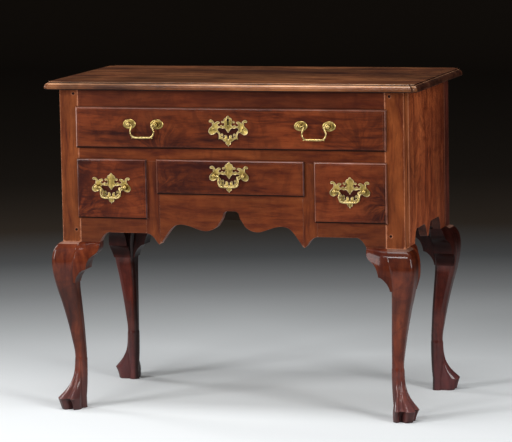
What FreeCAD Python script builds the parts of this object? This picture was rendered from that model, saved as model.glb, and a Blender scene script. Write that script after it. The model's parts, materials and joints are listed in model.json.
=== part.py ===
import FreeCAD, Part
import math
import os
import re
from types import SimpleNamespace

# Lowboy: a dressing table on four cabriole legs, with one wide drawer over three small ones.
# Millimetres, +Z up. The front faces -Y, the floor is Z = 0, and X = 0 is the middle of the front.

SIZES = {
    # the case
    "front_y": -207.5,
    "case_width": 788.0,
    "case_depth": 415.0,
    "overall_height": 740.0,
    "post_width": 43.0,
    "rail_thickness": 20.0,
    "panel_thickness": 18.0,
    "back_thickness": 12.0,
    "back_inset": 2.0,
    "top_rail_height": 43.5,
    "middle_rail_height": 32.0,
    "divider_width": 32.0,
    "top_opening_height": 83.5,
    "side_opening_height": 125.7,
    "middle_opening_height": 69.1,
    "middle_opening_width": 330.0,
    "skirt_height": 56.7,
    # joints of the case
    "tenon_length": 22.0,
    "tenon_thickness": 8.0,
    "tenon_shoulder": 5.0,
    "tongue_depth": 12.0,
    "stub_tenon_length": 12.0,
    "middle_tenon_height": 46.0,
    "side_tenon_height": 22.0,
    "peg_radius": 3.0,
    "peg_length": 30.0,
    "peg_fit": 0.15,
    "peg_below_top": 10.0,
    "peg_above_ledge": 27.0,
    # the top board
    "top_thickness": 17.0,
    "side_overhang": 33.0,
    "front_overhang": 20.0,
    "rear_overhang": 14.0,
    "corner_notch": 10.0,
    "moulding_width": 8.0,
    "moulding_step": 3.0,
    "moulding_round": 10.0,
    "edge_chamfer": 1.0,
    # the scalloped lower edge of the front, measured up from the ledge and out from the middle
    "arch_rise": 74.7,
    "arch_shoulder": 17.5,
    "lobe_out": 58.0,
    "lobe_rise": 29.3,
    "crest_out": 114.0,
    "crest_rise": 42.6,
    "drop_fall": 2.6,
    "flat_rise": 21.9,
    "flat_end": 28.0,
    # the scalloped lower edge of each side
    "side_flat_rise": 31.4,
    "side_drop_half_width": 34.0,
    "side_flat_end": 22.0,
    # the cabriole legs and their knee blocks
    "ankle_inset": 26.0,
    "ankle_height": 112.0,
    "ankle_half_width": 12.9,
    "stocking_radius": 13.9,
    "post_arris": 2.0,
    "knee_half_width": 28.8,
    "knee_reach": 28.5,
    "toe_height": 26.0,
    "toe_reach": 57.0,
    "side_toe_reach": 44.0,
    "pad_share": 0.71,
    "web_radius": 37.0,
    "pad_web_radius": 19.0,
    "web_reach_angle": 48.0,
    "heel_radius": 10.5,
    "side_toe_angle": 45.0,
    "toe_half_angle": 15.5,
    "block_width": 44.0,
    "block_depth": 24.0,
    "block_height": 92.0,
    # runners, guides and kickers
    "runner_height": 20.0,
    "runner_bearing": 21.0,
    "guide_height": 20.0,
    "kicker_height": 20.0,
    "kicker_relief": 1.0,
    "glue_block_size": 20.0,
    "glue_block_length": 70.0,
    # the drawers
    "drawer_gap": 1.5,
    "drawer_lift": 0.3,
    "lip_gap": 0.2,
    "lip_overlap": 5.0,
    "lip_overlap_below": 3.0,
    "lip_thickness": 7.0,
    "lip_round": 4.5,
    "field_inset": 6.0,
    "field_rise": 1.0,
    "front_thickness": 12.0,
    "side_thickness": 10.0,
    "side_height_cut": 3.0,
    "bottom_thickness": 7.0,
    "bottom_rise": 6.0,
    "bottom_groove": 5.0,
    "drawer_back_gap": 23.0,
    "tail_length": 10.0,
    "tail_flare": 2.5,
    # the brasses
    "plate_thickness": 1.8,
    "plate_post_spacing": 67.0,
    "rosette_post_spacing": 64.0,
    "rosette_length": 30.0,
    "rosette_height": 22.0,
    "rosette_thickness": 2.2,
    "post_reach": 7.0,
    "post_ball_radius": 5.4,
    "post_shank_radius": 2.6,
    "post_hole_fit": 0.25,
    "nut_width": 12.0,
    "nut_thickness": 4.0,
    "shank_past_nut": 2.0,
    "bail_radius": 1.9,
    "bail_pin_radius": 1.6,
    "bail_pin_fit": 0.15,
    "bail_end_gap": 0.4,
    "bail_swell_radius": 2.5,
    "plate_bail_drop": 24.0,
    "plate_bail_neck": 7.5,
    "plate_bail_belly": 3.5,
    "rosette_bail_drop": 29.0,
    "rosette_bail_neck": 4.0,
    "rosette_bail_belly": 5.5,
    "collar_radius": 6.4,
    "collar_height": 1.6,
    "escutcheon_nail_out": 33.0,
    "escutcheon_nail_fall": 25.5,
    "top_pull_out": 197.0,
    "top_pull_rise": 51.5,
    "escutcheon_rise": 42.0,
    "middle_pull_rise": 41.1,
    "side_pull_rise": 68.7,
    "nail_radius": 0.8,
    "nail_head_radius": 1.6,
    "nail_length": 12.0,
    "keyhole_radius": 3.0,
    "keyhole_rise": 21.3,
    "keyhole_drop": 12.0,
    "keyhole_slot": 3.2,
    # the lock of the wide drawer
    "lock_width": 64.0,
    "lock_height": 38.0,
    "lock_depth": 9.0,
    "lock_wall": 1.5,
    "bolt_width": 16.0,
    "bolt_thickness": 3.6,
    "bolt_height": 22.0,
    "bolt_gap": 0.4,
    "bolt_throw": 7.0,
}

# Places that many pieces share, as expressions of the sheet's sizes.
BACK_Y = "(front_y + case_depth)"
INNER_X = "(case_width / 2 - post_width)"
UNDER_TOP = "(overall_height - top_thickness)"
TOP_OPEN_HIGH = f"({UNDER_TOP} - top_rail_height)"
TOP_OPEN_LOW = f"({TOP_OPEN_HIGH} - top_opening_height)"
LOW_OPEN_HIGH = f"({TOP_OPEN_LOW} - middle_rail_height)"
SIDE_OPEN_LOW = f"({LOW_OPEN_HIGH} - side_opening_height)"
MIDDLE_OPEN_LOW = f"({LOW_OPEN_HIGH} - middle_opening_height)"
MIDDLE_X = "(middle_opening_width / 2)"
DIVIDER_X = "(middle_opening_width / 2 + divider_width)"
PANEL_X = "(case_width / 2 - panel_thickness)"
BACK_PANEL_Y = f"({BACK_Y} - back_inset - back_thickness)"
TENON_Y = "(front_y + (rail_thickness - tenon_thickness) / 2)"
INNER_DEPTH = "(case_depth - back_inset - back_thickness - rail_thickness)"
FACE_Y = "(front_y - lip_gap - lip_thickness - field_rise)"
LOCK_BOLT_Y = "(front_y + front_thickness - lock_depth / 2 - bolt_thickness / 2)"
KEYHOLE_Z = "(escutcheon_height + keyhole_rise)"

# Sizes that follow from the others, kept in the sheet as formulas.
FOLLOWING = {
    "ledge_height": f"{SIDE_OPEN_LOW} - skirt_height",
    "drawer_length": "case_depth - back_inset - back_thickness - drawer_back_gap",
    "top_pull_height": f"{TOP_OPEN_LOW} + top_pull_rise",
    "escutcheon_height": f"{TOP_OPEN_LOW} + escutcheon_rise",
    "middle_pull_height": f"{MIDDLE_OPEN_LOW} + middle_pull_rise",
    "side_pull_height": f"{SIDE_OPEN_LOW} + side_pull_rise",
}

doc = FreeCAD.newDocument("lowboy")
sheet = doc.addObject("Spreadsheet::Sheet", "dims")
CELLS = {name: str(number) for name, number in SIZES.items()}
CELLS.update({name: "=" + text for name, text in FOLLOWING.items()})
for row, (name, content) in enumerate(CELLS.items(), start=1):
    sheet.set(f"A{row}", name)
    sheet.set(f"B{row}", content)
    sheet.setAlias(f"B{row}", name)
doc.recompute()
dims = SimpleNamespace(**{name: float(sheet.get(name)) for name in CELLS})

CORNERS = (
    (-1, -1, "front_left"),
    (1, -1, "front_right"),
    (-1, 1, "rear_left"),
    (1, 1, "rear_right"),
)
FOOT_POINTS = 60
FOOT_STEPS = 6
FOOT_SWEEP = 2.8

NODES = []


# ---------------------------------------------------------------- helpers

def full(text):
    """Put the sheet's name before each size in an expression."""
    return re.sub(r"[a-z][a-z_]+", lambda match: "dims." + match.group(0), text)


def bind(obj, prop, text):
    """Tie one property to an expression of the sheet's sizes."""
    obj.setExpression(prop, full(text))


def place(obj, low):
    """Tie an object's position to three expressions."""
    for axis, text in zip("xyz", low):
        bind(obj, f"Placement.Base.{axis}", text)


def node(obj, label):
    """Name an object as one of the lowboy's sub-parts."""
    obj.Label = label
    NODES.append(obj)
    return obj


def box(low, size):
    """Box from its low corner and its three sizes, all expressions."""
    obj = doc.addObject("Part::Box", "box")
    for prop, text in zip(("Length", "Width", "Height"), size):
        bind(obj, prop, text)
    place(obj, low)
    return obj


def sided_box(side, low, size):
    """Box on the right side of the case, or its mirror image on the left for side -1."""
    if side > 0:
        return box(low, size)
    return box((f"-({low[0]}) - ({size[0]})", low[1], low[2]), size)


def cylinder(axis, low, radius, length):
    """Cylinder along +X or +Y from the centre of its low end."""
    turns = {"x": (FreeCAD.Vector(0, 1, 0), 90), "y": (FreeCAD.Vector(1, 0, 0), -90)}
    obj = doc.addObject("Part::Cylinder", "cylinder")
    obj.Placement.Rotation = FreeCAD.Rotation(*turns[axis])
    bind(obj, "Radius", radius)
    bind(obj, "Height", length)
    place(obj, low)
    return obj


def sphere(centre, radius):
    """Ball at three expressions."""
    obj = doc.addObject("Part::Sphere", "sphere")
    bind(obj, "Radius", radius)
    place(obj, centre)
    return obj


def fuse(parts):
    """One object from several."""
    if len(parts) == 1:
        return parts[0]
    obj = doc.addObject("Part::MultiFuse", "fuse")
    obj.Shapes = parts
    return obj


def cut(base, tools):
    """An object less several others."""
    obj = doc.addObject("Part::Cut", "cut")
    obj.Base = base
    obj.Tool = fuse(tools)
    return obj


def group(parts):
    """Separate solids that share one node."""
    obj = doc.addObject("Part::Compound", "group")
    obj.Links = parts
    return obj


def new_body(name, low):
    """Body placed by three expressions."""
    body = doc.addObject("PartDesign::Body", name)
    place(body, low)
    return body


def sketch(body, role, curves):
    """Sketch of some curves on one of the body's own origin planes."""
    obj = body.newObject("Sketcher::SketchObject", "sketch")
    plane = next(item for item in body.Origin.OriginFeatures if item.Role == role)
    obj.AttachmentSupport = [(plane, "")]
    obj.MapMode = "FlatFace"
    for curve in curves:
        obj.addGeometry(curve, False)
    return obj


def pad(body, profile, length, reverse=False):
    """Pad of a sketch by an expression."""
    obj = body.newObject("PartDesign::Pad", "pad")
    obj.Profile = profile
    obj.Reversed = reverse
    bind(obj, "Length", length)
    return obj


def flat(x, y):
    """Point of a sketch."""
    return FreeCAD.Vector(x, y, 0)


def stroke(points):
    """Line through two sketch points, or a smooth curve through more."""
    if len(points) == 2:
        return Part.LineSegment(flat(*points[0]), flat(*points[1]))
    curve = Part.BSplineCurve()
    curve.interpolate([flat(x, y) for x, y in points])
    return curve


def polyline(points):
    """Straight lines through sketch points, left open."""
    return [stroke(pair) for pair in zip(points, points[1:])]


def closed(points):
    """Straight lines through sketch points and back to the first."""
    return polyline(points + points[:1])


def flipped(strokes, side):
    """Strokes as they are on the right, or mirrored for the left."""
    return [[(side * x, y) for x, y in points] for points in strokes]


def both_halves(strokes):
    """Strokes of a right half, then their mirror images back to the start."""
    return strokes + [[(-x, y) for x, y in reversed(points)] for points in reversed(strokes)]


# ---------------------------------------------------------------- the top board

def top_outline(inset):
    """Plan of the top, square-notched at each corner, drawn in from the edge by inset."""
    half_x = dims.case_width / 2 + dims.side_overhang - inset
    low = dims.front_y - dims.front_overhang + inset
    high = dims.front_y + dims.case_depth + dims.rear_overhang - inset
    notch = dims.corner_notch
    right = [
        (half_x - notch, low),
        (half_x - notch, low + notch),
        (half_x, low + notch),
        (half_x, high - notch),
        (half_x - notch, high - notch),
        (half_x - notch, high),
    ]
    return right + [(-x, y) for x, y in reversed(right)]


def make_top_board():
    """Board with a stepped thumb moulding that follows its notched outline."""
    body = new_body("top", ("0", "0", UNDER_TOP))
    band = 3 * dims.moulding_width
    pad(body, sketch(body, "XY_Plane", closed(top_outline(band))), "top_thickness")
    edge_y = dims.front_y - dims.front_overhang
    route = [(0, edge_y)] + top_outline(0) + [(0, edge_y)]
    path = sketch(body, "XY_Plane", polyline(route))
    step = dims.top_thickness - dims.moulding_step
    round_low = step - dims.moulding_round
    bend = math.sqrt(0.5)
    thumb = Part.Arc(
        flat(edge_y + dims.moulding_width, step),
        flat(edge_y + dims.moulding_width * (1 - bend), round_low + dims.moulding_round * bend),
        flat(edge_y, round_low),
    )
    corners = [
        (edge_y, round_low),
        (edge_y, dims.edge_chamfer),
        (edge_y + dims.edge_chamfer, 0),
        (edge_y + band, 0),
        (edge_y + band, dims.top_thickness),
        (edge_y + dims.moulding_width, dims.top_thickness),
        (edge_y + dims.moulding_width, step),
    ]
    pipe = body.newObject("PartDesign::AdditivePipe", "moulding")
    pipe.Profile = sketch(body, "YZ_Plane", [thumb] + polyline(corners))
    pipe.Spine = (path, [f"Edge{index + 1}" for index in range(len(route) - 1)])
    pipe.Transition = "Right corner"
    node(body, "top_board")


# ---------------------------------------------------------------- the legs

# Each station: share of the way up from ankle to ledge, share of the knee's reach along the
# corner's diagonal, share of the way from the ankle's half width to the knee's, and the
# corner's radius as a share of the half width.
CABRIOLE = (
    (0.0, 0.0, 0.0, 0.88),
    (0.06, 0.02, 0.01, 0.85),
    (0.15, 0.13, 0.085, 0.77),
    (0.30, 0.34, 0.23, 0.66),
    (0.47, 0.64, 0.42, 0.55),
    (0.62, 0.94, 0.64, 0.47),
    (0.74, 1.06, 0.835, 0.40),
    (0.84, 1.00, 1.00, 0.33),
    (0.92, 0.79, 1.07, 0.28),
    (0.965, 0.57, 0.98, 0.25),
    (0.99, 0.39, 0.75, 0.20),
)


def leg_stations():
    """Height, inset of the centre from the case's faces, half width and corner radius, bottom up."""
    rise = dims.ledge_height - dims.ankle_height
    widening = dims.knee_half_width - dims.ankle_half_width
    stations = []
    for up, reach, widen, rounding in CABRIOLE:
        half = dims.ankle_half_width + widen * widening
        inset = dims.ankle_inset - reach * dims.knee_reach * math.sqrt(0.5)
        stations.append((dims.ankle_height + up * rise, inset, half, rounding * half))
    stations.append((dims.ledge_height, dims.post_width / 2, dims.post_width / 2, dims.post_arris))
    return stations


def rounded_square(x, y, z, half, radius):
    """Level wire of a square with round corners."""
    flat_half = half - radius
    edges = []
    for quarter in range(4):
        turn = FreeCAD.Rotation(FreeCAD.Vector(0, 0, 1), 90 * quarter)
        middle = FreeCAD.Vector(x, y, z)
        start = middle + turn.multVec(FreeCAD.Vector(half, -flat_half, 0))
        end = middle + turn.multVec(FreeCAD.Vector(half, flat_half, 0))
        bend = flat_half + radius * math.sqrt(0.5)
        crown = middle + turn.multVec(FreeCAD.Vector(bend, bend, 0))
        after = middle + turn.multVec(FreeCAD.Vector(flat_half, half, 0))
        edges.append(Part.LineSegment(start, end).toShape())
        edges.append(Part.Arc(end, crown, after).toShape())
    return Part.Wire(edges)


def foot_wire(x, y, z, spread, web_radius):
    """Level wire of the three-toed foot; spread is 1 at the toes' edge and 0 at the ankle."""
    ankle = dims.stocking_radius
    centre_toe = ankle + spread * (dims.toe_reach - ankle)
    side_toe = ankle + spread * (dims.side_toe_reach - ankle)
    web = ankle + spread * (web_radius - ankle)
    heel = ankle + spread * (dims.heel_radius - ankle)

    def base(angle):
        return heel + (web - heel) * math.exp(-((angle / web_reach) ** 4))

    outward = math.radians(225)
    side = math.radians(dims.side_toe_angle)
    half_toe = math.radians(dims.toe_half_angle)
    web_reach = math.radians(dims.web_reach_angle)
    points = []
    for index in range(FOOT_POINTS):
        angle = 2 * math.pi * index / FOOT_POINTS - math.pi
        middle_bump = (centre_toe - base(0)) * math.exp(-((angle / half_toe) ** 6))
        side_bump = (side_toe - base(side)) * math.exp(-(((abs(angle) - side) / half_toe) ** 6))
        radius = base(angle) + middle_bump + side_bump
        direction = outward + angle
        across = radius * math.cos(direction)
        along = radius * math.sin(direction)
        points.append(FreeCAD.Vector(x + across, y + along, z))
    curve = Part.BSplineCurve()
    curve.interpolate(points, True)
    return Part.Wire(curve.toShape())


def front_left_leg_shape():
    """Post, cabriole leg and foot in one, at the front left corner."""
    corner_x = -dims.case_width / 2
    corner_y = dims.front_y
    squares = [
        rounded_square(corner_x + inset, corner_y + inset, height, half, radius)
        for height, inset, half, radius in leg_stations()
    ]
    cabriole = Part.makeLoft(squares, True, False)
    x = corner_x + dims.ankle_inset
    y = corner_y + dims.ankle_inset
    pad_wire = foot_wire(x, y, 0, dims.pad_share, dims.pad_web_radius)
    toe_wire = foot_wire(x, y, dims.toe_height, 1, dims.web_radius)
    toes = Part.makeLoft([pad_wire, toe_wire], True, True)
    tops = []
    for step in range(FOOT_STEPS + 1):
        up = step / FOOT_STEPS
        height = dims.toe_height + up * (dims.ankle_height - dims.toe_height)
        tops.append(foot_wire(x, y, height, (1 - up) ** FOOT_SWEEP, dims.web_radius))
    instep = Part.makeLoft(tops, True, False)
    post = Part.makeBox(
        dims.post_width,
        dims.post_width,
        dims.overall_height - dims.top_thickness - dims.ledge_height,
        FreeCAD.Vector(corner_x, corner_y, dims.ledge_height),
    )
    return post.fuse([cabriole, toes, instep])


def at_corner(shape, side, end):
    """Copy of a front left shape mirrored to a corner: side 1 is the right, end 1 the rear."""
    if side > 0:
        shape = shape.mirror(FreeCAD.Vector(0, 0, 0), FreeCAD.Vector(1, 0, 0))
    if end > 0:
        middle = FreeCAD.Vector(0, dims.front_y + dims.case_depth / 2, 0)
        shape = shape.mirror(middle, FreeCAD.Vector(0, 1, 0))
    return shape


# Each slice across a knee block: its place along the block in post widths, how much of the knee's
# swelling it has, and how far its face is sunk, so that the block's root ends inside the leg.
BLOCK_SLICES = (
    (0.45, 0.84, 2.0),
    (1.0, 0.97, 0.0),
    (1.5, 0.74, 0.0),
    (2.1, 0.36, 0.0),
)
# Lower edge of a knee block as shares of its width, from its outer end, and of its height.
BLOCK_END = (0.0, 0.0)
BLOCK_UPPER_CURVE = ((0.02, 0.13), (0.17, 0.27), (0.46, 0.38), (0.62, 0.52), (0.69, 0.66))
BLOCK_LOWER_CURVE = ((0.83, 0.68), (1.05, 0.77), (1.2, 0.88), (1.27, 1.0))


def knee_block_shape(leg_shape):
    """Shaped block beside the front left knee, under the front of the case."""
    corner = FreeCAD.Vector(-dims.case_width / 2, dims.front_y, 0)
    low = dims.ledge_height - dims.block_height
    stations = leg_stations()
    below = sum(1 for z, inset, half, radius in stations if z <= low)
    bulge = [(z, half - inset) for z, inset, half, radius in stations[below - 1:]]
    low_z, low_out = bulge[0]
    slices = []
    for along, share, sunk in BLOCK_SLICES:
        x = along * dims.post_width
        face = Part.BSplineCurve()
        face.interpolate([corner + FreeCAD.Vector(x, sunk - share * out, z) for z, out in bulge])
        ends = [
            corner + FreeCAD.Vector(x, sunk, dims.ledge_height),
            corner + FreeCAD.Vector(x, dims.block_depth, dims.ledge_height),
            corner + FreeCAD.Vector(x, dims.block_depth, low_z),
            corner + FreeCAD.Vector(x, sunk - share * low_out, low_z),
        ]
        lines = [Part.LineSegment(*pair).toShape() for pair in zip(ends, ends[1:])]
        slices.append(Part.Wire([face.toShape()] + lines))
    swell = Part.makeLoft(slices, True, False)

    outer_end = dims.post_width + dims.block_width
    before = -2 * dims.knee_half_width

    def edge_point(share, drop):
        x = outer_end - share * dims.block_width
        return corner + FreeCAD.Vector(x, before, dims.ledge_height - drop * dims.block_height)

    upper = Part.BSplineCurve()
    upper.interpolate([edge_point(*point) for point in BLOCK_UPPER_CURVE])
    lower = Part.BSplineCurve()
    lower.interpolate([edge_point(*point) for point in BLOCK_LOWER_CURVE])
    root_x = dims.post_width / 2
    root_low = corner + FreeCAD.Vector(root_x, before, low)
    root_high = corner + FreeCAD.Vector(root_x, before, dims.ledge_height)
    upper_low = edge_point(*BLOCK_UPPER_CURVE[-1])
    edges = [
        Part.LineSegment(root_high, edge_point(*BLOCK_END)).toShape(),
        Part.LineSegment(edge_point(*BLOCK_END), edge_point(*BLOCK_UPPER_CURVE[0])).toShape(),
        upper.toShape(),
        Part.LineSegment(upper_low, edge_point(*BLOCK_LOWER_CURVE[0])).toShape(),
        lower.toShape(),
        Part.LineSegment(edge_point(*BLOCK_LOWER_CURVE[-1]), root_low).toShape(),
        Part.LineSegment(root_low, root_high).toShape(),
    ]
    depth = FreeCAD.Vector(0, dims.block_depth - before, 0)
    silhouette = Part.Face(Part.Wire(edges)).extrude(depth)
    return swell.common(silhouette).cut(leg_shape)


def make_legs(joints):
    """Four legs with their mortises, and beside each one its two knee blocks."""
    leg_shape = front_left_leg_shape()
    front_block = knee_block_shape(leg_shape)
    corner = FreeCAD.Vector(-dims.case_width / 2, dims.front_y, 0)
    side_block = front_block.mirror(corner, FreeCAD.Vector(1, -1, 0))
    for side, end, name in CORNERS:
        blank = doc.addObject("Part::Feature", "leg")
        blank.Shape = at_corner(leg_shape, side, end)
        node(cut(blank, joints[side, end]), f"{name}_leg")
        pair = []
        for shape in (front_block, side_block):
            block = doc.addObject("Part::Feature", "block")
            block.Shape = at_corner(shape, side, end)
            pair.append(block)
        node(group(pair), f"{name}_knee_blocks")


# ---------------------------------------------------------------- the case

def rail_tenon(side, low_z, height):
    """Tenon of a front rail that goes into a front post."""
    return sided_box(
        side,
        (INNER_X, TENON_Y, f"{low_z} + tenon_shoulder"),
        ("tenon_length", "tenon_thickness", f"{height} - 2 * tenon_shoulder"),
    )


def peg(side, height, fit=""):
    """Peg driven from the front through a post and its tenon."""
    middle = f"{side} * ({INNER_X} + tenon_length / 2)"
    return cylinder("y", (middle, "front_y", height), f"peg_radius{fit}", f"peg_length{fit}")


def front_edge():
    """Lower edge of the front from the middle out to the right post, as strokes above the ledge."""
    opening = dims.middle_opening_width / 2
    divider = opening + dims.divider_width
    inner = dims.case_width / 2 - dims.post_width
    block = inner - dims.block_width
    arch, lobe, crest = dims.arch_rise, dims.lobe_rise, dims.crest_rise
    shoulder = dims.arch_shoulder
    slope = arch - lobe
    fall = crest + dims.drop_fall
    run = opening - dims.crest_out
    centre = [
        (0, arch),
        (0.69 * shoulder, arch - 0.02 * slope),
        (shoulder, arch - 0.13 * slope),
        (1.14 * shoulder, arch - 0.32 * slope),
        (1.4 * shoulder, arch - 0.49 * slope),
        (1.8 * shoulder, arch - 0.73 * slope),
        (0.75 * dims.lobe_out, lobe + 0.08 * slope),
        (dims.lobe_out, lobe),
        ((dims.lobe_out + dims.crest_out) / 2, (lobe + crest) / 2),
        (dims.crest_out, crest),
        (dims.crest_out + 0.33 * run, crest - 0.07 * fall),
        (dims.crest_out + 0.56 * run, crest - 0.3 * fall),
        (dims.crest_out + 0.78 * run, crest - 0.64 * fall),
        (opening, -0.5 * dims.drop_fall),
    ]
    tip = (opening + 0.08 * dims.divider_width, -dims.drop_fall)
    rise = dims.flat_rise + dims.drop_fall
    drop = [
        tip,
        (opening + 0.22 * dims.divider_width, tip[1] + 0.17 * rise),
        (opening + 0.42 * dims.divider_width, tip[1] + 0.54 * rise),
        (opening + 0.7 * dims.divider_width, tip[1] + 0.86 * rise),
        (divider, dims.flat_rise),
    ]
    flat_end = block - dims.flat_end
    corner = [
        (flat_end, dims.flat_rise),
        (flat_end + 0.4 * dims.flat_end, 0.94 * dims.flat_rise),
        (flat_end + 0.75 * dims.flat_end, 0.55 * dims.flat_rise),
        (block, 0),
    ]
    level = [(divider, dims.flat_rise), (flat_end, dims.flat_rise)]
    return {
        "centre": [centre],
        "divider": [[centre[-1], tip], drop],
        "side": [level, corner, [(block, 0), (inner, 0)]],
    }


def board_on_edge(name, strokes, top, side=1):
    """Front board between two uprights: a scalloped lower edge and a level top."""
    body = new_body(name, ("0", "front_y", "ledge_height"))
    last = strokes[-1][-1]
    first = strokes[0][0]
    around = [last, (last[0], top), (first[0], top), first]
    rest = [list(pair) for pair in zip(around, around[1:])]
    curves = [stroke(points) for points in flipped(strokes + rest, side)]
    pad(body, sketch(body, "XZ_Plane", curves), "rail_thickness", True)
    return body


def make_front(joints):
    """Rails, dividers and scalloped skirts of the front, with their tenons and pegs."""
    under_top = dims.overall_height - dims.top_thickness
    low_open_high = under_top - dims.top_rail_height - dims.top_opening_height - dims.middle_rail_height
    side_top = low_open_high - dims.side_opening_height - dims.ledge_height
    middle_top = low_open_high - dims.middle_opening_height - dims.ledge_height
    divider_top = low_open_high - dims.ledge_height
    edge = front_edge()
    high_peg = f"{UNDER_TOP} - peg_below_top"
    low_peg = "ledge_height + peg_above_ledge"

    pegs, holes = [], []
    for side in (-1, 1):
        for height in (high_peg, low_peg):
            pegs.append(peg(side, height))
            hole = peg(side, height, " + peg_fit")
            holes.append(hole)
            joints[side, -1].append(hole)
    node(group(pegs), "joint_pegs")

    rails = {
        "top_rail": (TOP_OPEN_HIGH, "top_rail_height"),
        "middle_rail": (LOW_OPEN_HIGH, "middle_rail_height"),
    }
    divider_tenons = [
        sided_box(
            side,
            (f"{MIDDLE_X} + tenon_shoulder", TENON_Y, LOW_OPEN_HIGH),
            ("divider_width - 2 * tenon_shoulder", "tenon_thickness", "middle_rail_height / 2"),
        )
        for side in (-1, 1)
    ]
    for name, (low, height) in rails.items():
        board = box((f"-{INNER_X}", "front_y", low), (f"2 * {INNER_X}", "rail_thickness", height))
        tenons = [rail_tenon(side, low, height) for side in (-1, 1)]
        for side, tenon in zip((-1, 1), tenons):
            joints[side, -1].append(tenon)
        if name == "top_rail":
            bolt_mortise = box(
                ("-bolt_width / 2 - bolt_gap", LOCK_BOLT_Y + " - bolt_gap", TOP_OPEN_HIGH),
                (
                    "bolt_width + 2 * bolt_gap",
                    "bolt_thickness + 2 * bolt_gap",
                    "bolt_throw + 2 * bolt_gap",
                ),
            )
            node(cut(fuse([board] + tenons), holes + [bolt_mortise]), name)
        else:
            node(cut(fuse([board] + tenons), divider_tenons), name)

    inner_tenons = [
        sided_box(
            side,
            (MIDDLE_X, TENON_Y, f"{MIDDLE_OPEN_LOW} - middle_tenon_height - tenon_shoulder"),
            ("stub_tenon_length", "tenon_thickness", "middle_tenon_height"),
        )
        for side in (-1, 1)
    ]
    right_half = edge["centre"][0]
    whole = [(-x, z) for x, z in reversed(right_half)] + right_half[1:]
    centre = board_on_edge("centre", [whole], middle_top)
    node(fuse([centre] + inner_tenons), "centre_skirt")

    for side, name in ((-1, "left"), (1, "right")):
        skirt = board_on_edge(name, edge["side"], side_top, side)
        post_tenon = rail_tenon(side, "ledge_height", f"{SIDE_OPEN_LOW} - ledge_height")
        joints[side, -1].append(post_tenon)
        divider_tenon = sided_box(
            side,
            (
                f"{DIVIDER_X} - stub_tenon_length",
                TENON_Y,
                f"{SIDE_OPEN_LOW} - side_tenon_height - tenon_shoulder",
            ),
            ("stub_tenon_length", "tenon_thickness", "side_tenon_height"),
        )
        node(cut(fuse([skirt, post_tenon, divider_tenon]), holes), f"{name}_skirt")
        divider = board_on_edge(name, edge["divider"], divider_top, side)
        index = (-1, 1).index(side)
        node(
            cut(fuse([divider, divider_tenons[index]]), [divider_tenon, inner_tenons[index]]),
            f"{name}_divider",
        )


def side_edge():
    """Lower edge of a side from its middle to the rear post, as strokes above the ledge."""
    half = dims.case_depth / 2 - dims.post_width
    block = half - dims.block_width
    flat = dims.side_flat_rise
    drop = dims.side_drop_half_width
    flat_end = block - dims.side_flat_end
    return [
        [
            (0, 0),
            (0.16 * drop, 0.14 * flat),
            (0.36 * drop, 0.45 * flat),
            (0.6 * drop, 0.8 * flat),
            (drop, flat),
        ],
        [(drop, flat), (flat_end, flat)],
        [
            (flat_end, flat),
            (flat_end + 0.4 * dims.side_flat_end, 0.92 * flat),
            (flat_end + 0.78 * dims.side_flat_end, 0.5 * flat),
            (block, 0),
        ],
        [(block, 0), (half, 0)],
    ]


def make_panels(joints):
    """Two scalloped side boards and the plain back, tongued into the posts."""
    half = dims.case_depth / 2 - dims.post_width
    top = dims.overall_height - dims.top_thickness - dims.ledge_height
    rear = side_edge()
    front = [[(-y, z) for y, z in reversed(points)] for points in reversed(rear)]
    frame = [[(half, 0), (half, top)], [(half, top), (-half, top)], [(-half, top), (-half, 0)]]
    curves = [stroke(points) for points in front + rear + frame]
    tongue_height = f"{UNDER_TOP} - ledge_height - 2 * tenon_shoulder"
    tongue_low = "ledge_height + tenon_shoulder"
    for side, name in ((-1, "left"), (1, "right")):
        low_x = PANEL_X if side > 0 else "-case_width / 2"
        body = new_body(name, (low_x, "front_y + case_depth / 2", "ledge_height"))
        pad(body, sketch(body, "YZ_Plane", curves), "panel_thickness")
        tongue_x = f"{PANEL_X} + (panel_thickness - tenon_thickness) / 2"
        tongues = []
        for end, low_y in ((-1, "front_y + post_width - tongue_depth"), (1, f"{BACK_Y} - post_width")):
            tongue = sided_box(
                side,
                (tongue_x, low_y, tongue_low),
                ("tenon_thickness", "tongue_depth", tongue_height),
            )
            tongues.append(tongue)
            joints[side, end].append(tongue)
        node(fuse([body] + tongues), f"{name}_side_panel")

    board = box(
        (f"-{INNER_X}", BACK_PANEL_Y, "ledge_height"),
        (f"2 * {INNER_X}", "back_thickness", f"{UNDER_TOP} - ledge_height"),
    )
    tongues = []
    for side in (-1, 1):
        tongue = sided_box(
            side,
            (INNER_X, f"{BACK_PANEL_Y} + (back_thickness - tenon_thickness) / 2", tongue_low),
            ("tongue_depth", "tenon_thickness", tongue_height),
        )
        tongues.append(tongue)
        joints[side, 1].append(tongue)
    node(fuse([board] + tongues), "back_panel")


# ---------------------------------------------------------------- what carries the drawers

def side_strip(side, low_z, height):
    """Strip along a side of the case, let round the posts and reaching in under a drawer."""
    wide = sided_box(
        side,
        (INNER_X, "front_y + post_width", low_z),
        ("post_width - panel_thickness", "case_depth - 2 * post_width", height),
    )
    narrow = sided_box(
        side,
        (f"{INNER_X} - runner_bearing", "front_y + rail_thickness", low_z),
        ("runner_bearing", INNER_DEPTH, height),
    )
    return fuse([wide, narrow])


def inner_strip(side, low_x, width, low_z, height):
    """Strip from the front frame to the back, behind a divider."""
    return sided_box(side, (low_x, "front_y + rail_thickness", low_z), (width, INNER_DEPTH, height))


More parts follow.
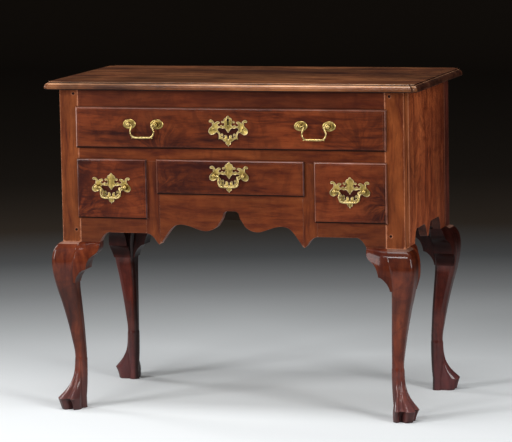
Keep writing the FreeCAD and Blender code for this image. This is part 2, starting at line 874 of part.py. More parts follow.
def make_strips():
    """Runners under the drawers, guides beside them and kickers over them."""
    outer, inner, guides, kickers = [], [], [], []
    behind = "divider_width + runner_bearing"
    side_runner_low = f"{SIDE_OPEN_LOW} - runner_height"
    middle_runner_low = f"{MIDDLE_OPEN_LOW} - runner_height"
    for side in (-1, 1):
        outer.append(side_strip(side, LOW_OPEN_HIGH, "middle_rail_height"))
        outer.append(side_strip(side, side_runner_low, "runner_height"))
        inner.append(inner_strip(side, MIDDLE_X, behind, side_runner_low, "runner_height"))
        inner.append(inner_strip(
            side, f"{MIDDLE_X} - runner_bearing", behind, middle_runner_low, "runner_height"
        ))
        for low_z in (TOP_OPEN_LOW, SIDE_OPEN_LOW):
            guides.append(sided_box(
                side,
                (INNER_X, "front_y + post_width", low_z),
                ("post_width - panel_thickness", "case_depth - 2 * post_width", "guide_height"),
            ))
        between = f"{middle_runner_low} - {SIDE_OPEN_LOW}"
        guides.append(inner_strip(side, MIDDLE_X, "divider_width", SIDE_OPEN_LOW, between))
        guides.append(inner_strip(side, MIDDLE_X, "divider_width", MIDDLE_OPEN_LOW, "guide_height"))
        kickers.append(side_strip(side, TOP_OPEN_HIGH, "kicker_height"))
        kickers.append(inner_strip(
            side,
            f"{MIDDLE_X} - runner_bearing",
            "divider_width + 2 * runner_bearing",
            LOW_OPEN_HIGH,
            "middle_rail_height - kicker_relief",
        ))
    node(group(outer), "outer_runners")
    node(group(inner), "inner_runners")
    node(group(guides), "drawer_guides")
    node(group(kickers), "drawer_kickers")


def make_glue_blocks():
    """Square blocks rubbed into the corner under the top, along the sides and the back."""
    low_z = f"{UNDER_TOP} - glue_block_size"
    blocks = []
    for side in (-1, 1):
        for share in ("0.3", "0.7"):
            blocks.append(sided_box(
                side,
                (
                    f"{PANEL_X} - glue_block_size",
                    f"front_y + {share} * case_depth - glue_block_length / 2",
                    low_z,
                ),
                ("glue_block_size", "glue_block_length", "glue_block_size"),
            ))
        blocks.append(sided_box(
            side,
            ("case_width / 4 - glue_block_length / 2", f"{BACK_PANEL_Y} - glue_block_size", low_z),
            ("glue_block_length", "glue_block_size", "glue_block_size"),
        ))
    node(group(blocks), "top_glue_blocks")


# ---------------------------------------------------------------- the drawers

def tails(side_x, low_y, high_y, low_z, high_z, count, wide_first):
    """Dovetails in the end of a drawer side, wide at their free end."""
    shapes = []
    pitch = f"(({high_z}) - ({low_z})) / {count}"
    for index in range(count):
        tail = doc.addObject("Part::Wedge", "tail")
        root = f"0.25 * {pitch}"
        tip = f"0.25 * {pitch} + tail_flare"
        first, second = (tip, root) if wide_first else (root, tip)
        for prop, text in (
            ("Xmin", "0"), ("X2min", "0"), ("Xmax", "side_thickness"), ("X2max", "side_thickness"),
            ("Ymin", "0"), ("Ymax", f"({high_y}) - ({low_y})"),
            ("Zmin", f"-({first})"), ("Zmax", first), ("Z2min", f"-({second})"), ("Z2max", second),
        ):
            bind(tail, prop, text)
        place(tail, (side_x, low_y, f"({low_z}) + {pitch} * {index + 0.5}"))
        shapes.append(tail)
    return shapes


def lipped_front(low_x, high_x, low_z, high_z):
    """Drawer front: a block in the opening, a lip plate with rounded edges and a raised field."""
    block = box(
        (f"{low_x} + drawer_gap", "front_y - lip_gap", f"{low_z} + drawer_lift"),
        (
            f"{high_x} - {low_x} - 2 * drawer_gap",
            "front_thickness + lip_gap",
            f"{high_z} - {low_z} - drawer_lift - drawer_gap",
        ),
    )
    width = f"{high_x} - {low_x} + 2 * lip_overlap"
    height = f"{high_z} - {low_z} + lip_overlap + lip_overlap_below"
    plate = box(
        (f"{low_x} - lip_overlap", "front_y - lip_gap - lip_thickness", f"{low_z} - lip_overlap_below"),
        (width, "lip_thickness", height),
    )
    doc.recompute()
    face_y = dims.front_y - dims.lip_gap - dims.lip_thickness
    rounded = doc.addObject("Part::Fillet", "lip")
    rounded.Base = plate
    rounded.Edges = [
        (index, dims.lip_round, dims.lip_round)
        for index, edge in enumerate(plate.Shape.Edges, start=1)
        if all(abs(vertex.Y - face_y) < 1e-6 for vertex in edge.Vertexes)
    ]
    field = box(
        (
            f"{low_x} - lip_overlap + field_inset",
            "front_y - lip_gap - lip_thickness - field_rise",
            f"{low_z} - lip_overlap_below + field_inset",
        ),
        (f"{width} - 2 * field_inset", "field_rise + lip_thickness / 2", f"{height} - 2 * field_inset"),
    )
    return fuse([block, rounded, field])


def make_drawer(name, low_x, high_x, low_z, high_z, tail_count, front_cuts):
    """Dovetailed drawer for the opening between two x and two z expressions."""
    left = f"({low_x} + drawer_gap)"
    right = f"({high_x} - drawer_gap)"
    low = f"({low_z} + drawer_lift)"
    side_top = f"({high_z} - drawer_gap - side_height_cut)"
    back_low = f"({low} + bottom_rise + bottom_thickness)"
    root_y = "(front_y + front_thickness)"
    rear = "(front_y + drawer_length)"
    bottom = box(
        (
            f"{left} + side_thickness - bottom_groove",
            f"{root_y} - bottom_groove",
            f"{low} + bottom_rise",
        ),
        (
            f"{right} - {left} - 2 * side_thickness + 2 * bottom_groove",
            f"{rear} - {root_y} + bottom_groove",
            "bottom_thickness",
        ),
    )
    sides, all_tails = [], []
    for side_x in (left, f"{right} - side_thickness"):
        board = box(
            (side_x, root_y, low),
            ("side_thickness", f"{rear} - side_thickness - {root_y}", f"{side_top} - {low}"),
        )
        front_tails = tails(
            side_x, f"{root_y} - tail_length", root_y, low, side_top, tail_count, True
        )
        back_tails = tails(
            side_x, f"{rear} - side_thickness", rear, back_low, side_top, tail_count, False
        )
        all_tails += front_tails + back_tails
        sides.append(cut(fuse([board] + front_tails + back_tails), [bottom]))
    front = lipped_front(low_x, high_x, low_z, high_z)
    node(cut(front, all_tails + [bottom] + front_cuts), f"{name}_front")
    node(group(sides), f"{name}_sides")
    back = box(
        (left, f"{rear} - side_thickness", back_low),
        (f"{right} - {left}", "side_thickness", f"{side_top} - {back_low}"),
    )
    node(cut(back, all_tails), f"{name}_back")
    node(bottom, f"{name}_bottom")


# ---------------------------------------------------------------- the brasses

PLATE_OUTLINE = (
    ((0, 30.8), (2.2, 29.0), (4.4, 26.2), (7.6, 24.6), (9.2, 21.5), (9.4, 18.6)),
    ((9.4, 18.6), (12.0, 18.8), (15.4, 17.4), (14.6, 14.6), (11.4, 14.2), (9.0, 14.6)),
    ((9.0, 14.6), (8.4, 11.0), (9.6, 8.2), (12.4, 7.2)),
    ((12.4, 7.2), (13.8, 9.6), (16.0, 10.2), (17.8, 8.0), (20.6, 7.4), (23.0, 8.4)),
    (
        (23.0, 8.4),
        (23.4, 11.6),
        (20.6, 12.8),
        (18.8, 14.8),
        (20.6, 17.2),
        (24.6, 17.6),
        (28.4, 15.6),
        (31.0, 12.8),
    ),
    (
        (31.0, 12.8),
        (33.2, 17.8),
        (37.6, 21.2),
        (42.2, 20.4),
        (43.8, 17.4),
        (41.4, 15.2),
        (38.0, 15.6),
        (36.4, 12.4),
    ),
    (
        (36.4, 12.4),
        (37.6, 7.2),
        (42.0, 2.6),
        (45.2, -3.4),
        (43.4, -9.2),
        (37.4, -11.6),
        (31.2, -9.6),
        (27.0, -6.2),
    ),
    ((27.0, -6.2), (23.6, -8.0), (21.4, -12.0), (21.2, -17.0), (22.2, -21.6)),
    ((22.2, -21.6), (17.6, -21.4), (13.4, -22.8), (9.6, -25.8), (4.4, -27.6)),
    ((4.4, -27.6), (6.4, -29.6), (4.6, -32.8), (1.8, -34.6), (0, -37.6)),
)
PLATE_EYE = (
    ((0, -7.0), (3.4, -2.6), (6.4, 1.2), (10.2, 3.0)),
    ((10.2, 3.0), (14.6, 2.4), (19.0, 3.6), (23.4, 1.8)),
    ((23.4, 1.8), (22.6, -3.0), (19.4, -6.8), (17.0, -10.6), (14.2, -8.6), (11.6, -10.6), (9.8, -14.0)),
    ((9.8, -14.0), (7.6, -12.4), (4.2, -12.6), (2.4, -15.2), (0, -18.2)),
)
PLATE_TEAR = ((14.0, -13.4), (16.6, -15.6), (14.2, -17.6), (12.0, -15.6))


def plate_curves():
    """Outline and piercings of the bat-wing plate, about the middle of its post line."""
    curves = [stroke(points) for points in both_halves([list(points) for points in PLATE_OUTLINE])]
    curves += [stroke(points) for points in both_halves([list(points) for points in PLATE_EYE])]
    for side in (-1, 1):
        curves += closed([(side * x, z) for x, z in PLATE_TEAR])
    return curves


def brass_plate(middle_x, height):
    """Pierced bat-wing plate lying on a drawer front."""
    body = new_body("plate", (middle_x, FACE_Y, height))
    pad(body, sketch(body, "XZ_Plane", plate_curves()), "plate_thickness")
    return body


def pull_post(middle_x, height, thickness):
    """Ball-headed post, drilled across for the bail, and its square nut behind the front."""
    ball_y = f"({FACE_Y} - {thickness} - post_reach)"
    nut_y = "(front_y + front_thickness)"
    shank = cylinder(
        "y",
        (middle_x, ball_y, height),
        "post_shank_radius",
        f"{nut_y} + nut_thickness + shank_past_nut - {ball_y}",
    )
    collar = cylinder(
        "y",
        (middle_x, f"{FACE_Y} - {thickness} - collar_height", height),
        "collar_radius",
        "collar_height",
    )
    hole = cylinder(
        "x",
        (f"{middle_x} - 2 * post_ball_radius", ball_y, height),
        "bail_pin_radius + bail_pin_fit",
        "4 * post_ball_radius",
    )
    post = cut(fuse([shank, collar, sphere((middle_x, ball_y, height), "post_ball_radius")]), [hole])
    block = box(
        (f"{middle_x} - nut_width / 2", nut_y, f"{height} - nut_width / 2"),
        ("nut_width", "nut_thickness", "nut_width"),
    )
    return [post, cut(block, [shank])]


def shank_hole(middle_x, height):
    """Hole for a post's shank through everything in front of its nut."""
    start = f"({FACE_Y} - 2 * rosette_thickness)"
    return cylinder(
        "y",
        (middle_x, start, height),
        "post_shank_radius + post_hole_fit",
        f"front_y + front_thickness - {start} + 1",
    )


def rosette(middle_x, height, hole):
    """Oval rosette in two steps under a post."""
    body = new_body("rosette", (middle_x, FACE_Y, height))
    for share, length in ((1.0, "rosette_thickness / 2"), (0.74, "rosette_thickness")):
        half_length = share * dims.rosette_length / 2
        oval = Part.Ellipse(flat(0, 0), half_length, share * dims.rosette_height / 2)
        pad(body, sketch(body, "XZ_Plane", [oval]), length)
    return cut(body, [hole])


def rounded_route(points, radii):
    """Wire of straight runs joined by tangent arcs of the given radii."""
    edges = []
    start = points[0]
    for before, corner, after, radius in zip(points, points[1:], points[2:], radii):
        incoming = (corner - before).normalize()
        outgoing = (after - corner).normalize()
        turn = incoming.getAngle(outgoing)
        setback = radius * math.tan(turn / 2)
        arc_start = corner - incoming * setback
        arc_end = corner + outgoing * setback
        inward = (outgoing - incoming).normalize()
        arc_middle = corner + inward * (radius / math.cos(turn / 2) - radius)
        edges.append(Part.LineSegment(start, arc_start).toShape())
        edges.append(Part.Arc(arc_start, arc_middle, arc_end).toShape())
        start = arc_end
    edges.append(Part.LineSegment(start, points[-1]).toShape())
    return Part.Wire(edges)


PLATE_BAIL = (
    dims.plate_post_spacing,
    dims.plate_bail_drop,
    dims.plate_bail_neck,
    dims.plate_bail_belly,
)
ROSETTE_BAIL = (
    dims.rosette_post_spacing,
    dims.rosette_bail_drop,
    dims.rosette_bail_neck,
    dims.rosette_bail_belly,
)


def make_bail(name, middle_x, height, thickness, form, spurs):
    """Swan-neck bail hanging from its two posts, its pins in their balls."""
    spacing, drop, neck_in, belly_out = form
    pivot = FreeCAD.Vector(0, 0, 0)
    end = spacing / 2 - dims.post_ball_radius - dims.bail_end_gap
    neck = end - neck_in
    belly = neck + belly_out
    foot = belly - 0.22 * drop
    right = [(end, 0), (neck, -0.05 * drop), (belly, -0.52 * drop), (foot, -drop)]
    points = [(-x, z) for x, z in right] + right[::-1]
    route_points = [pivot + FreeCAD.Vector(x, 0, z) for x, z in points]
    turns = [1.3 * dims.bail_radius, 4.5 * dims.bail_radius, 4.5 * dims.bail_radius]
    route = rounded_route(route_points, turns + turns[::-1])
    along = FreeCAD.Vector(1, 0, 0)
    ring = Part.Wire(Part.makeCircle(dims.bail_radius, route_points[0], along))
    rod = route.makePipeShell([ring], True, True)
    pieces = []
    for side in (-1, 1):
        start = pivot + along * (side * (end - dims.bail_end_gap))
        reach = dims.post_ball_radius * 2
        pieces.append(Part.makeCylinder(dims.bail_pin_radius, reach, start, along * side))
        swell = Part.makeCone(
            dims.bail_swell_radius,
            0.9 * dims.bail_radius,
            0.8 * foot,
            FreeCAD.Vector(0, 0, -drop),
            along * side,
        )
        pieces.append(swell)
        if spurs:
            root = FreeCAD.Vector(side * (foot + 0.5 * dims.bail_radius), 0, -0.93 * drop)
            pieces.append(Part.makeCone(
                0.8 * dims.bail_radius,
                0.5 * dims.bail_radius,
                2.6 * dims.bail_radius,
                root,
                FreeCAD.Vector(side * 0.5, 0, -1),
            ))
    bail = doc.addObject("Part::Feature", "bail")
    bail.Shape = rod.fuse(pieces)
    place(bail, (middle_x, f"{FACE_Y} - {thickness} - post_reach", height))
    node(bail, name)


def make_escutcheon():
    """Keyhole plate of the wide drawer and the little nails that hold it."""
    keyhole_y = f"({FACE_Y} - 2 * plate_thickness)"
    depth = f"front_y + front_thickness - lock_depth + lock_wall - {keyhole_y}"
    keyhole = [
        cylinder("y", ("0", keyhole_y, KEYHOLE_Z), "keyhole_radius", depth),
        box(
            ("-keyhole_slot / 2", keyhole_y, f"{KEYHOLE_Z} - keyhole_drop"),
            ("keyhole_slot", depth, "keyhole_drop"),
        ),
    ]
    nails, holes = [], []
    nail_places = (
        ("-escutcheon_nail_out", "0"),
        ("escutcheon_nail_out", "0"),
        ("0", "-escutcheon_nail_fall"),
    )
    for x, z in nail_places:
        height = f"escutcheon_height + {z}"
        start = f"({FACE_Y} - plate_thickness)"
        shank = cylinder("y", (x, start, height), "nail_radius", "nail_length")
        head = cylinder("y", (x, f"{start} - nail_radius", height), "nail_head_radius", "nail_radius")
        nails.append(fuse([shank, head]))
        holes.append(
            cylinder("y", (x, start, height), "nail_radius + peg_fit", "nail_length + peg_fit")
        )
    node(cut(brass_plate("0", "escutcheon_height"), keyhole + holes), "keyhole_escutcheon")
    node(group(nails), "escutcheon_nails")
    return keyhole, holes


def make_lock(keyhole):
    """Box lock let into the back of the wide drawer's front, and its bolt drawn down."""
    top = f"({TOP_OPEN_HIGH} - drawer_gap)"
    low_y = "(front_y + front_thickness - lock_depth)"
    case = box(
        ("-lock_width / 2", low_y, f"{top} - lock_height"),
        ("lock_width", "lock_depth", "lock_height"),
    )
    channel = box(
        (
            "-bolt_width / 2 - bolt_gap",
            f"{LOCK_BOLT_Y} - bolt_gap",
            f"{top} - bolt_height - 2 * bolt_gap",
        ),
        (
            "bolt_width + 2 * bolt_gap",
            "bolt_thickness + 2 * bolt_gap",
            "bolt_height + 4 * bolt_gap",
        ),
    )
    bolt = box(
        ("-bolt_width / 2", LOCK_BOLT_Y, f"{top} - bolt_height - bolt_gap"),
        ("bolt_width", "bolt_thickness", "bolt_height"),
    )
    node(cut(case, [channel] + keyhole), "lock_case")
    node(bolt, "lock_bolt")
    return case


def make_drawers():
    """Four drawers with their fronts bored for the brasses, and the brasses themselves."""
    keyhole, nail_holes = make_escutcheon()
    lock_case = make_lock(keyhole)
    rosette_posts = [
        (f"{side} * top_pull_out + {end} * rosette_post_spacing / 2", "top_pull_height")
        for side in (-1, 1)
        for end in (-1, 1)
    ]
    holes = [shank_hole(x, z) for x, z in rosette_posts]
    node(group([rosette(x, z, hole) for (x, z), hole in zip(rosette_posts, holes)]), "top_rosettes")
    posts = []
    for x, z in rosette_posts:
        posts += pull_post(x, z, "rosette_thickness")
    node(group(posts), "top_pull_posts")
    make_drawer(
        "top_drawer", f"(-{INNER_X})", INNER_X, TOP_OPEN_LOW, TOP_OPEN_HIGH, 3,
        holes + keyhole + nail_holes + [lock_case],
    )
    for side, name in ((-1, "left"), (1, "right")):
        make_bail(
            f"top_{name}_bail",
            f"{side} * top_pull_out",
            "top_pull_height",
            "rosette_thickness",
            ROSETTE_BAIL,
            True,
        )

    lower = (
        ("left_drawer", f"(-{INNER_X})", f"(-{DIVIDER_X})", SIDE_OPEN_LOW, "side_pull_height", 4),
        ("middle_drawer", f"(-{MIDDLE_X})", MIDDLE_X, MIDDLE_OPEN_LOW, "middle_pull_height", 2),
        ("right_drawer", DIVIDER_X, INNER_X, SIDE_OPEN_LOW, "side_pull_height", 4),
    )
    for name, low_x, high_x, low_z, height, count in lower:
        middle_x = f"({low_x} + {high_x}) / 2"
        places = [f"{middle_x} + {end} * plate_post_spacing / 2" for end in (-1, 1)]
        holes = [shank_hole(x, height) for x in places]
        node(cut(brass_plate(middle_x, height), holes), f"{name}_pull_plate")
        posts = []
        for x in places:
            posts += pull_post(x, height, "plate_thickness")
        node(group(posts), f"{name}_pull_posts")
        make_bail(f"{name}_bail", middle_x, height, "plate_thickness", PLATE_BAIL, False)
        make_drawer(name, low_x, high_x, low_z, LOW_OPEN_HIGH, count, holes)


# ---------------------------------------------------------------- build and write

def check():
    """Stop if any object failed or any sub-part is empty or invalid."""
    for obj in doc.Objects:
        if "Invalid" in obj.State or "Error" in obj.State:
            raise RuntimeError(f"{obj.Name} ({obj.Label}) failed: {obj.State}")
    for obj in NODES:
        shape = obj.Shape
        if shape.isNull() or not shape.isValid() or not shape.Solids:
            raise RuntimeError(f"{obj.Label} has no valid solid")


def write():
    """Write each sub-part to a STEP file of its own."""
    os.makedirs("parts", exist_ok=True)
    for obj in NODES:
        obj.Shape.exportStep(os.path.join("parts", f"{obj.Label}.step"))
        box_of = obj.Shape.BoundBox
        print(f"{obj.Label}: {len(obj.Shape.Solids)} solids, {obj.Shape.Volume / 1000:.1f} cm3, "
              f"x {box_of.XMin:.1f}..{box_of.XMax:.1f} y {box_of.YMin:.1f}..{box_of.YMax:.1f} "
              f"z {box_of.ZMin:.1f}..{box_of.ZMax:.1f}")


def main():
    """Model the lowboy from its top down."""
    joints = {(side, end): [] for side, end, name in CORNERS}
    make_top_board()
    make_front(joints)
    make_panels(joints)
    make_legs(joints)
    make_strips()
    make_glue_blocks()
    make_drawers()
    doc.recompute()
    check()
    write()


main()
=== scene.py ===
import json
import logging
import math
from dataclasses import dataclass, replace
from enum import Enum, IntEnum
from typing import Callable, Iterable, Iterator, Sequence

import bmesh
import bpy
from mathutils import Matrix, Vector, noise


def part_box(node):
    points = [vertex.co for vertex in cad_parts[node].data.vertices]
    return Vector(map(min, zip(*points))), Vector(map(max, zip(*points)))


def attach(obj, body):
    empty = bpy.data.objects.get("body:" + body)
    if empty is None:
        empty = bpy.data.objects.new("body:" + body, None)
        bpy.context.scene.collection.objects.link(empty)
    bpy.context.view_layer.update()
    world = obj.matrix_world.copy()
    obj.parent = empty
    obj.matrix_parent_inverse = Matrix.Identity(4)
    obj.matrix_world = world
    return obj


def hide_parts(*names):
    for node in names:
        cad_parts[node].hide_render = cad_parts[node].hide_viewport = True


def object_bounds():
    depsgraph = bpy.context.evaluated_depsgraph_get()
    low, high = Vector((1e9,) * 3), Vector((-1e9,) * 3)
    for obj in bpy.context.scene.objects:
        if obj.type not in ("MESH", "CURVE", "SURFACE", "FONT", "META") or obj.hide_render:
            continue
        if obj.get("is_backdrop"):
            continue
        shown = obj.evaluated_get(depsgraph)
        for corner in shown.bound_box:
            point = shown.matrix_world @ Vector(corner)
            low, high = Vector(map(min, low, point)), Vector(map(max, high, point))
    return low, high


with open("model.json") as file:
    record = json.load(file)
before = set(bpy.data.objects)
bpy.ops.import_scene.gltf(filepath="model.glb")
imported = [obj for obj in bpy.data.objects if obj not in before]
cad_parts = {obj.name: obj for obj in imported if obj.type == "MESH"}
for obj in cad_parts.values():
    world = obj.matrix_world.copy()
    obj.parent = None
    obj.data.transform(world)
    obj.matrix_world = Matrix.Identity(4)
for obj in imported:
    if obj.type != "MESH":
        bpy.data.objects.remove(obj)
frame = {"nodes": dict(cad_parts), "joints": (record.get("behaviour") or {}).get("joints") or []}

CAD_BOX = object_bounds()
LOG = logging.getLogger("lowboy")

Colour = tuple[float, float, float]
Point = tuple[float, float, float]
Band = tuple[float, float]
Output = bpy.types.NodeSocket
Mesh = bmesh.types.BMesh
Edge = bmesh.types.BMEdge

MILLIMETRE = 0.001
SMALL_DRAWERS = ("left_drawer", "middle_drawer", "right_drawer")
TOP_BAILS = ("top_left_bail", "top_right_bail")


class Grain(Enum):
    """The way the fibres of a board run."""

    ALONG_X = (1.0, 0.0, 0.0)
    ALONG_Y = (0.0, 1.0, 0.0)
    ALONG_Z = (0.0, 0.0, 1.0)


class Slot(Enum):
    """Material slots of the part's record."""

    CASE = "case_wood"
    TOP = "top_wood"
    LEG = "leg_wood"
    DRAWER = "drawer_wood"
    BRASS = "brass"


class TopFace(IntEnum):
    """Finishes of the top board, in the order of its materials."""

    FLAT = 0
    EDGE = 1
    # Crest painted pale: wear and painted highlight.
    HIGHLIT_CREST = 2
    # Quirk, undersides and lower edge painted dark: painted shade.
    SHADED_QUIRK = 3
    END = 4


class LegFace(IntEnum):
    """Finishes of a leg and its post, in the order of their materials."""

    LEG = 0
    POST = 1
    WORN_HIGHLIT_LEDGE = 2
    POST_SIDE = 3


class FrontFace(IntEnum):
    """Finishes of a drawer's front, in the order of its materials."""

    FIELD = 0
    LIP = 1
    SHADED_UNDERSIDE_LIP = 2
    HIGHLIT_LIP = 3
    SHADED_SIDE_LIP = 4


CUT_EDGE_INDEX = 1
PLATE_RIM_INDEX = 1


# ---------------------------------------------------------------- shader nodes

@dataclass(frozen=True)
class Pattern:
    """A noise: lumps to a metre, octaves, strength of the fine ones, swirl and telling band."""

    scale: float
    detail: float
    roughness: float
    distortion: float = 0.0
    band: Band = (0.0, 1.0)


STREAKS = Pattern(66.0, 7.0, 0.64, 0.3)
BROAD = Pattern(13.0, 3.0, 0.5, 0.7)
CURLS = Pattern(22.0, 6.0, 0.62, 1.8, (0.44, 0.64))
FAN = Pattern(1.0, 6.0, 0.68, 0.5, (0.40, 0.60))
PORES = Pattern(1.0, 3.0, 0.6, band=(0.55, 0.72))
PATCHES = Pattern(4.2, 4.0, 0.55, 0.4, (0.3, 0.72))
SCUFFS = Pattern(120.0, 5.0, 0.65)
SMEARS = Pattern(22.0, 4.0, 0.6, 0.5, (0.3, 0.7))
UNEVEN = Pattern(30.0, 3.0, 0.5)
CLOUDS = Pattern(90.0, 4.0, 0.6, 0.4, (0.3, 0.7))
GRIT = Pattern(900.0, 3.0, 0.6)
SPOTS = Pattern(260.0, 4.0, 0.6, band=(0.6, 0.75))
WALL_SAMPLES = 12
MIX_FIRST = 6
MIX_SECOND = 7
MIX_RESULT = 2


class NodeSheet:
    """Writes the shader nodes of one material."""

    def __init__(self, name: str) -> None:
        """Start an empty material.

        Args:
            name: the material's name.
        """
        self.material = bpy.data.materials.new(name)
        self.material.use_nodes = True
        self.tree = self.material.node_tree
        self.tree.nodes.clear()

    def add(self, kind: str, *inputs: object, **settings: object) -> bpy.types.Node:
        """Add a node, set its properties and fill its first inputs.

        Args:
            kind: the node type without its ShaderNode prefix.
            inputs: values or sockets for its first inputs, in order.
            settings: properties of the node by name.

        Returns:
            The new node.
        """
        node = self.tree.nodes.new("ShaderNode" + kind)
        for key, value in settings.items():
            setattr(node, key, value)
        for socket, value in zip(node.inputs, inputs):
            self.put(socket, value)
        return node

    def feed(self, node: bpy.types.Node, **inputs: object) -> bpy.types.Node:
        """Set or link a node's inputs.

        Args:
            node: the node whose inputs are filled.
            inputs: socket names with underscores for spaces, each with a value or a socket.

        Returns:
            The same node.
        """
        for key, value in inputs.items():
            self.put(node.inputs[key.replace("_", " ")], value)
        return node

    def put(self, socket: Output, value: object) -> None:
        """Link a socket to an output, or set its value.

        Args:
            socket: the input.
            value: an output socket, a number, or a colour or vector of three.
        """
        if isinstance(value, Output):
            self.tree.links.new(value, socket)
        elif isinstance(value, tuple) and socket.type == "RGBA":
            socket.default_value = (*value, 1.0)
        else:
            socket.default_value = value

    def maths(self, operation: str, first: object, second: object) -> Output:
        """Arithmetic on two values."""
        return self.add("Math", first, second, operation=operation).outputs[0]

    def vector(self, operation: str, first: object, second: object) -> Output:
        """Arithmetic on two vectors."""
        return self.add("VectorMath", first, second, operation=operation).outputs[0]

    def length(self, vector: Output) -> Output:
        """Length of a vector."""
        return self.add("VectorMath", vector, operation="LENGTH").outputs["Value"]

    def axes(self, vector: Output) -> list[Output]:
        """The X, Y and Z parts of a vector."""
        return list(self.add("SeparateXYZ", vector).outputs)

    def total(self, *parts: tuple[Output, float]) -> Output:
        """Add values up, each times its weight.

        Args:
            parts: the values with their weights.

        Returns:
            The sum's socket.
        """
        first, *others = [self.maths("MULTIPLY", value, weight) for value, weight in parts]
        for term in others:
            first = self.maths("ADD", first, term)
        return first

    def spread(self, value: Output, low: float, high: float, to_low: float = 0.0,
               to_high: float = 1.0) -> Output:
        """Stretch a range of values smoothly onto another one, clamped.

        Args:
            value: the input's socket.
            low: input that gives to_low.
            high: input that gives to_high.
            to_low: result at the low end.
            to_high: result at the high end.

        Returns:
            The result's socket.
        """
        node = self.add("MapRange", value, low, high, to_low, to_high,
                        interpolation_type="SMOOTHSTEP", clamp=True)
        return node.outputs[0]

    def mix(self, share: object, first: object, second: object, mode: str = "MIX") -> Output:
        """Mix two colours.

        Args:
            share: how much of the second colour shows.
            first: colour or socket.
            second: colour or socket.
            mode: the blend mode.

        Returns:
            The result's socket.
        """
        node = self.add("Mix", share, data_type="RGBA", blend_type=mode)
        self.put(node.inputs[MIX_FIRST], first)
        self.put(node.inputs[MIX_SECOND], second)
        return node.outputs[MIX_RESULT]

    def ramp(self, share: Output, stops: Sequence[float], colours: Iterable[Colour]) -> Output:
        """Colour ramp through several stops.

        Args:
            share: position on the ramp.
            stops: the stops' positions.
            colours: their colours.

        Returns:
            The colour's socket.
        """
        node = self.add("ValToRGB", share)
        elements = node.color_ramp.elements
        while len(elements) < len(stops):
            elements.new(0.5)
        for element, position, colour in zip(elements, stops, colours):
            element.position = position
            element.color = (*colour, 1.0)
        return node.outputs[0]

    def grey(self, value: Output) -> Output:
        """A grey from one value, for multiplying colours."""
        return self.add("CombineColor", value, value, value).outputs[0]

    def mapped(self, vector: Output, scale: Point = (1.0, 1.0, 1.0),
               shift: Point = (0.0, 0.0, 0.0), turn: Point = (0.0, 0.0, 0.0)) -> Output:
        """Coordinates stretched, turned by radians about each axis, and shifted."""
        return self.add("Mapping", vector, shift, turn, scale).outputs[0]

    def place(self, **moves: Point) -> Output:
        """Object coordinates, stretched and shifted as mapped does it."""
        return self.mapped(self.add("TexCoord").outputs["Object"], **moves)

    def noise(self, vector: Output, pattern: Pattern) -> Output:
        """A noise pattern's value.

        Args:
            vector: coordinates.
            pattern: the pattern.

        Returns:
            The value's socket.
        """
        node = self.feed(self.add("TexNoise"), Vector=vector, Scale=pattern.scale,
                         Detail=pattern.detail, Roughness=pattern.roughness,
                         Distortion=pattern.distortion)
        return node.outputs[0]

    def warped(self, vector: Output, scale: float, amount: float) -> Output:
        """Coordinates pushed about by a soft noise.

        Args:
            vector: coordinates.
            scale: lumps of the noise to a metre.
            amount: how far it pushes.

        Returns:
            The vector's socket.
        """
        node = self.feed(self.add("TexNoise"), Vector=vector, Scale=scale, Detail=2.0)
        centred = self.vector("SUBTRACT", node.outputs["Color"], (0.5, 0.5, 0.5))
        return self.vector("ADD", vector, self.vector("MULTIPLY", centred, (amount,) * 3))

    def walled(self, reach: float, inside: bool = False, own: bool = True) -> Output:
        """How far walls shut a point in: 1 in the deepest corner.

        Args:
            reach: how far from the point walls are looked for.
            inside: look into the piece instead, which finds its outer edges.
            own: whether only its own piece's walls count.

        Returns:
            The value's socket.
        """
        node = self.add("AmbientOcclusion", samples=WALL_SAMPLES, inside=inside, only_local=own)
        self.feed(node, Distance=reach)
        return self.maths("SUBTRACT", 1.0, node.outputs["AO"])

    def relief(self, height: Output, strength: float, distance: float) -> Output:
        """Bump from a height, whose full step is a distance in metres."""
        node = self.feed(self.add("Bump"), Height=height, Strength=strength, Distance=distance)
        return node.outputs[0]

    def finish(self, **inputs: object) -> bpy.types.Material:
        """End the sheet with its shader.

        Args:
            inputs: the shader's inputs by name, as feed takes them.

        Returns:
            The material.
        """
        shader = self.feed(self.add("BsdfPrincipled"), **inputs)
        output = self.add("OutputMaterial")
        self.tree.links.new(shader.outputs[0], output.inputs[0])
        return self.material


# ---------------------------------------------------------------- finishes

def opposite(point: Point) -> Point:
    """The shift that brings a point to the origin."""
    return tuple(-part for part in point)


@dataclass(frozen=True)
class Figure:
    """A fan of crotch figure in one part of a board, spread from its root."""

    root: Point
    reach: float
    strength: float
    spokes: float = 7.0
    runs: float = 16.0
    warp: float = 0.035
    heart: float = 0.45

    def share(self, sheet: NodeSheet) -> Output:
        """How dark the figure is at a point.

        Args:
            sheet: the material's nodes.

        Returns:
            The value's socket.
        """
        bent = sheet.warped(sheet.place(shift=opposite(self.root)), scale=14.0, amount=self.warp)
        across, _, up = sheet.axes(bent)
        far = sheet.length(bent)
        angle = sheet.maths("ARCTAN2", across, up)
        polar = sheet.add("CombineXYZ", sheet.maths("MULTIPLY", angle, self.spokes),
                          sheet.maths("MULTIPLY", far, self.runs))
        lines = sheet.spread(sheet.noise(polar.outputs[0], FAN), *FAN.band)
        near = sheet.spread(far, self.heart * self.reach, self.reach, self.strength, 0.0)
        return sheet.maths("MULTIPLY", lines, near)


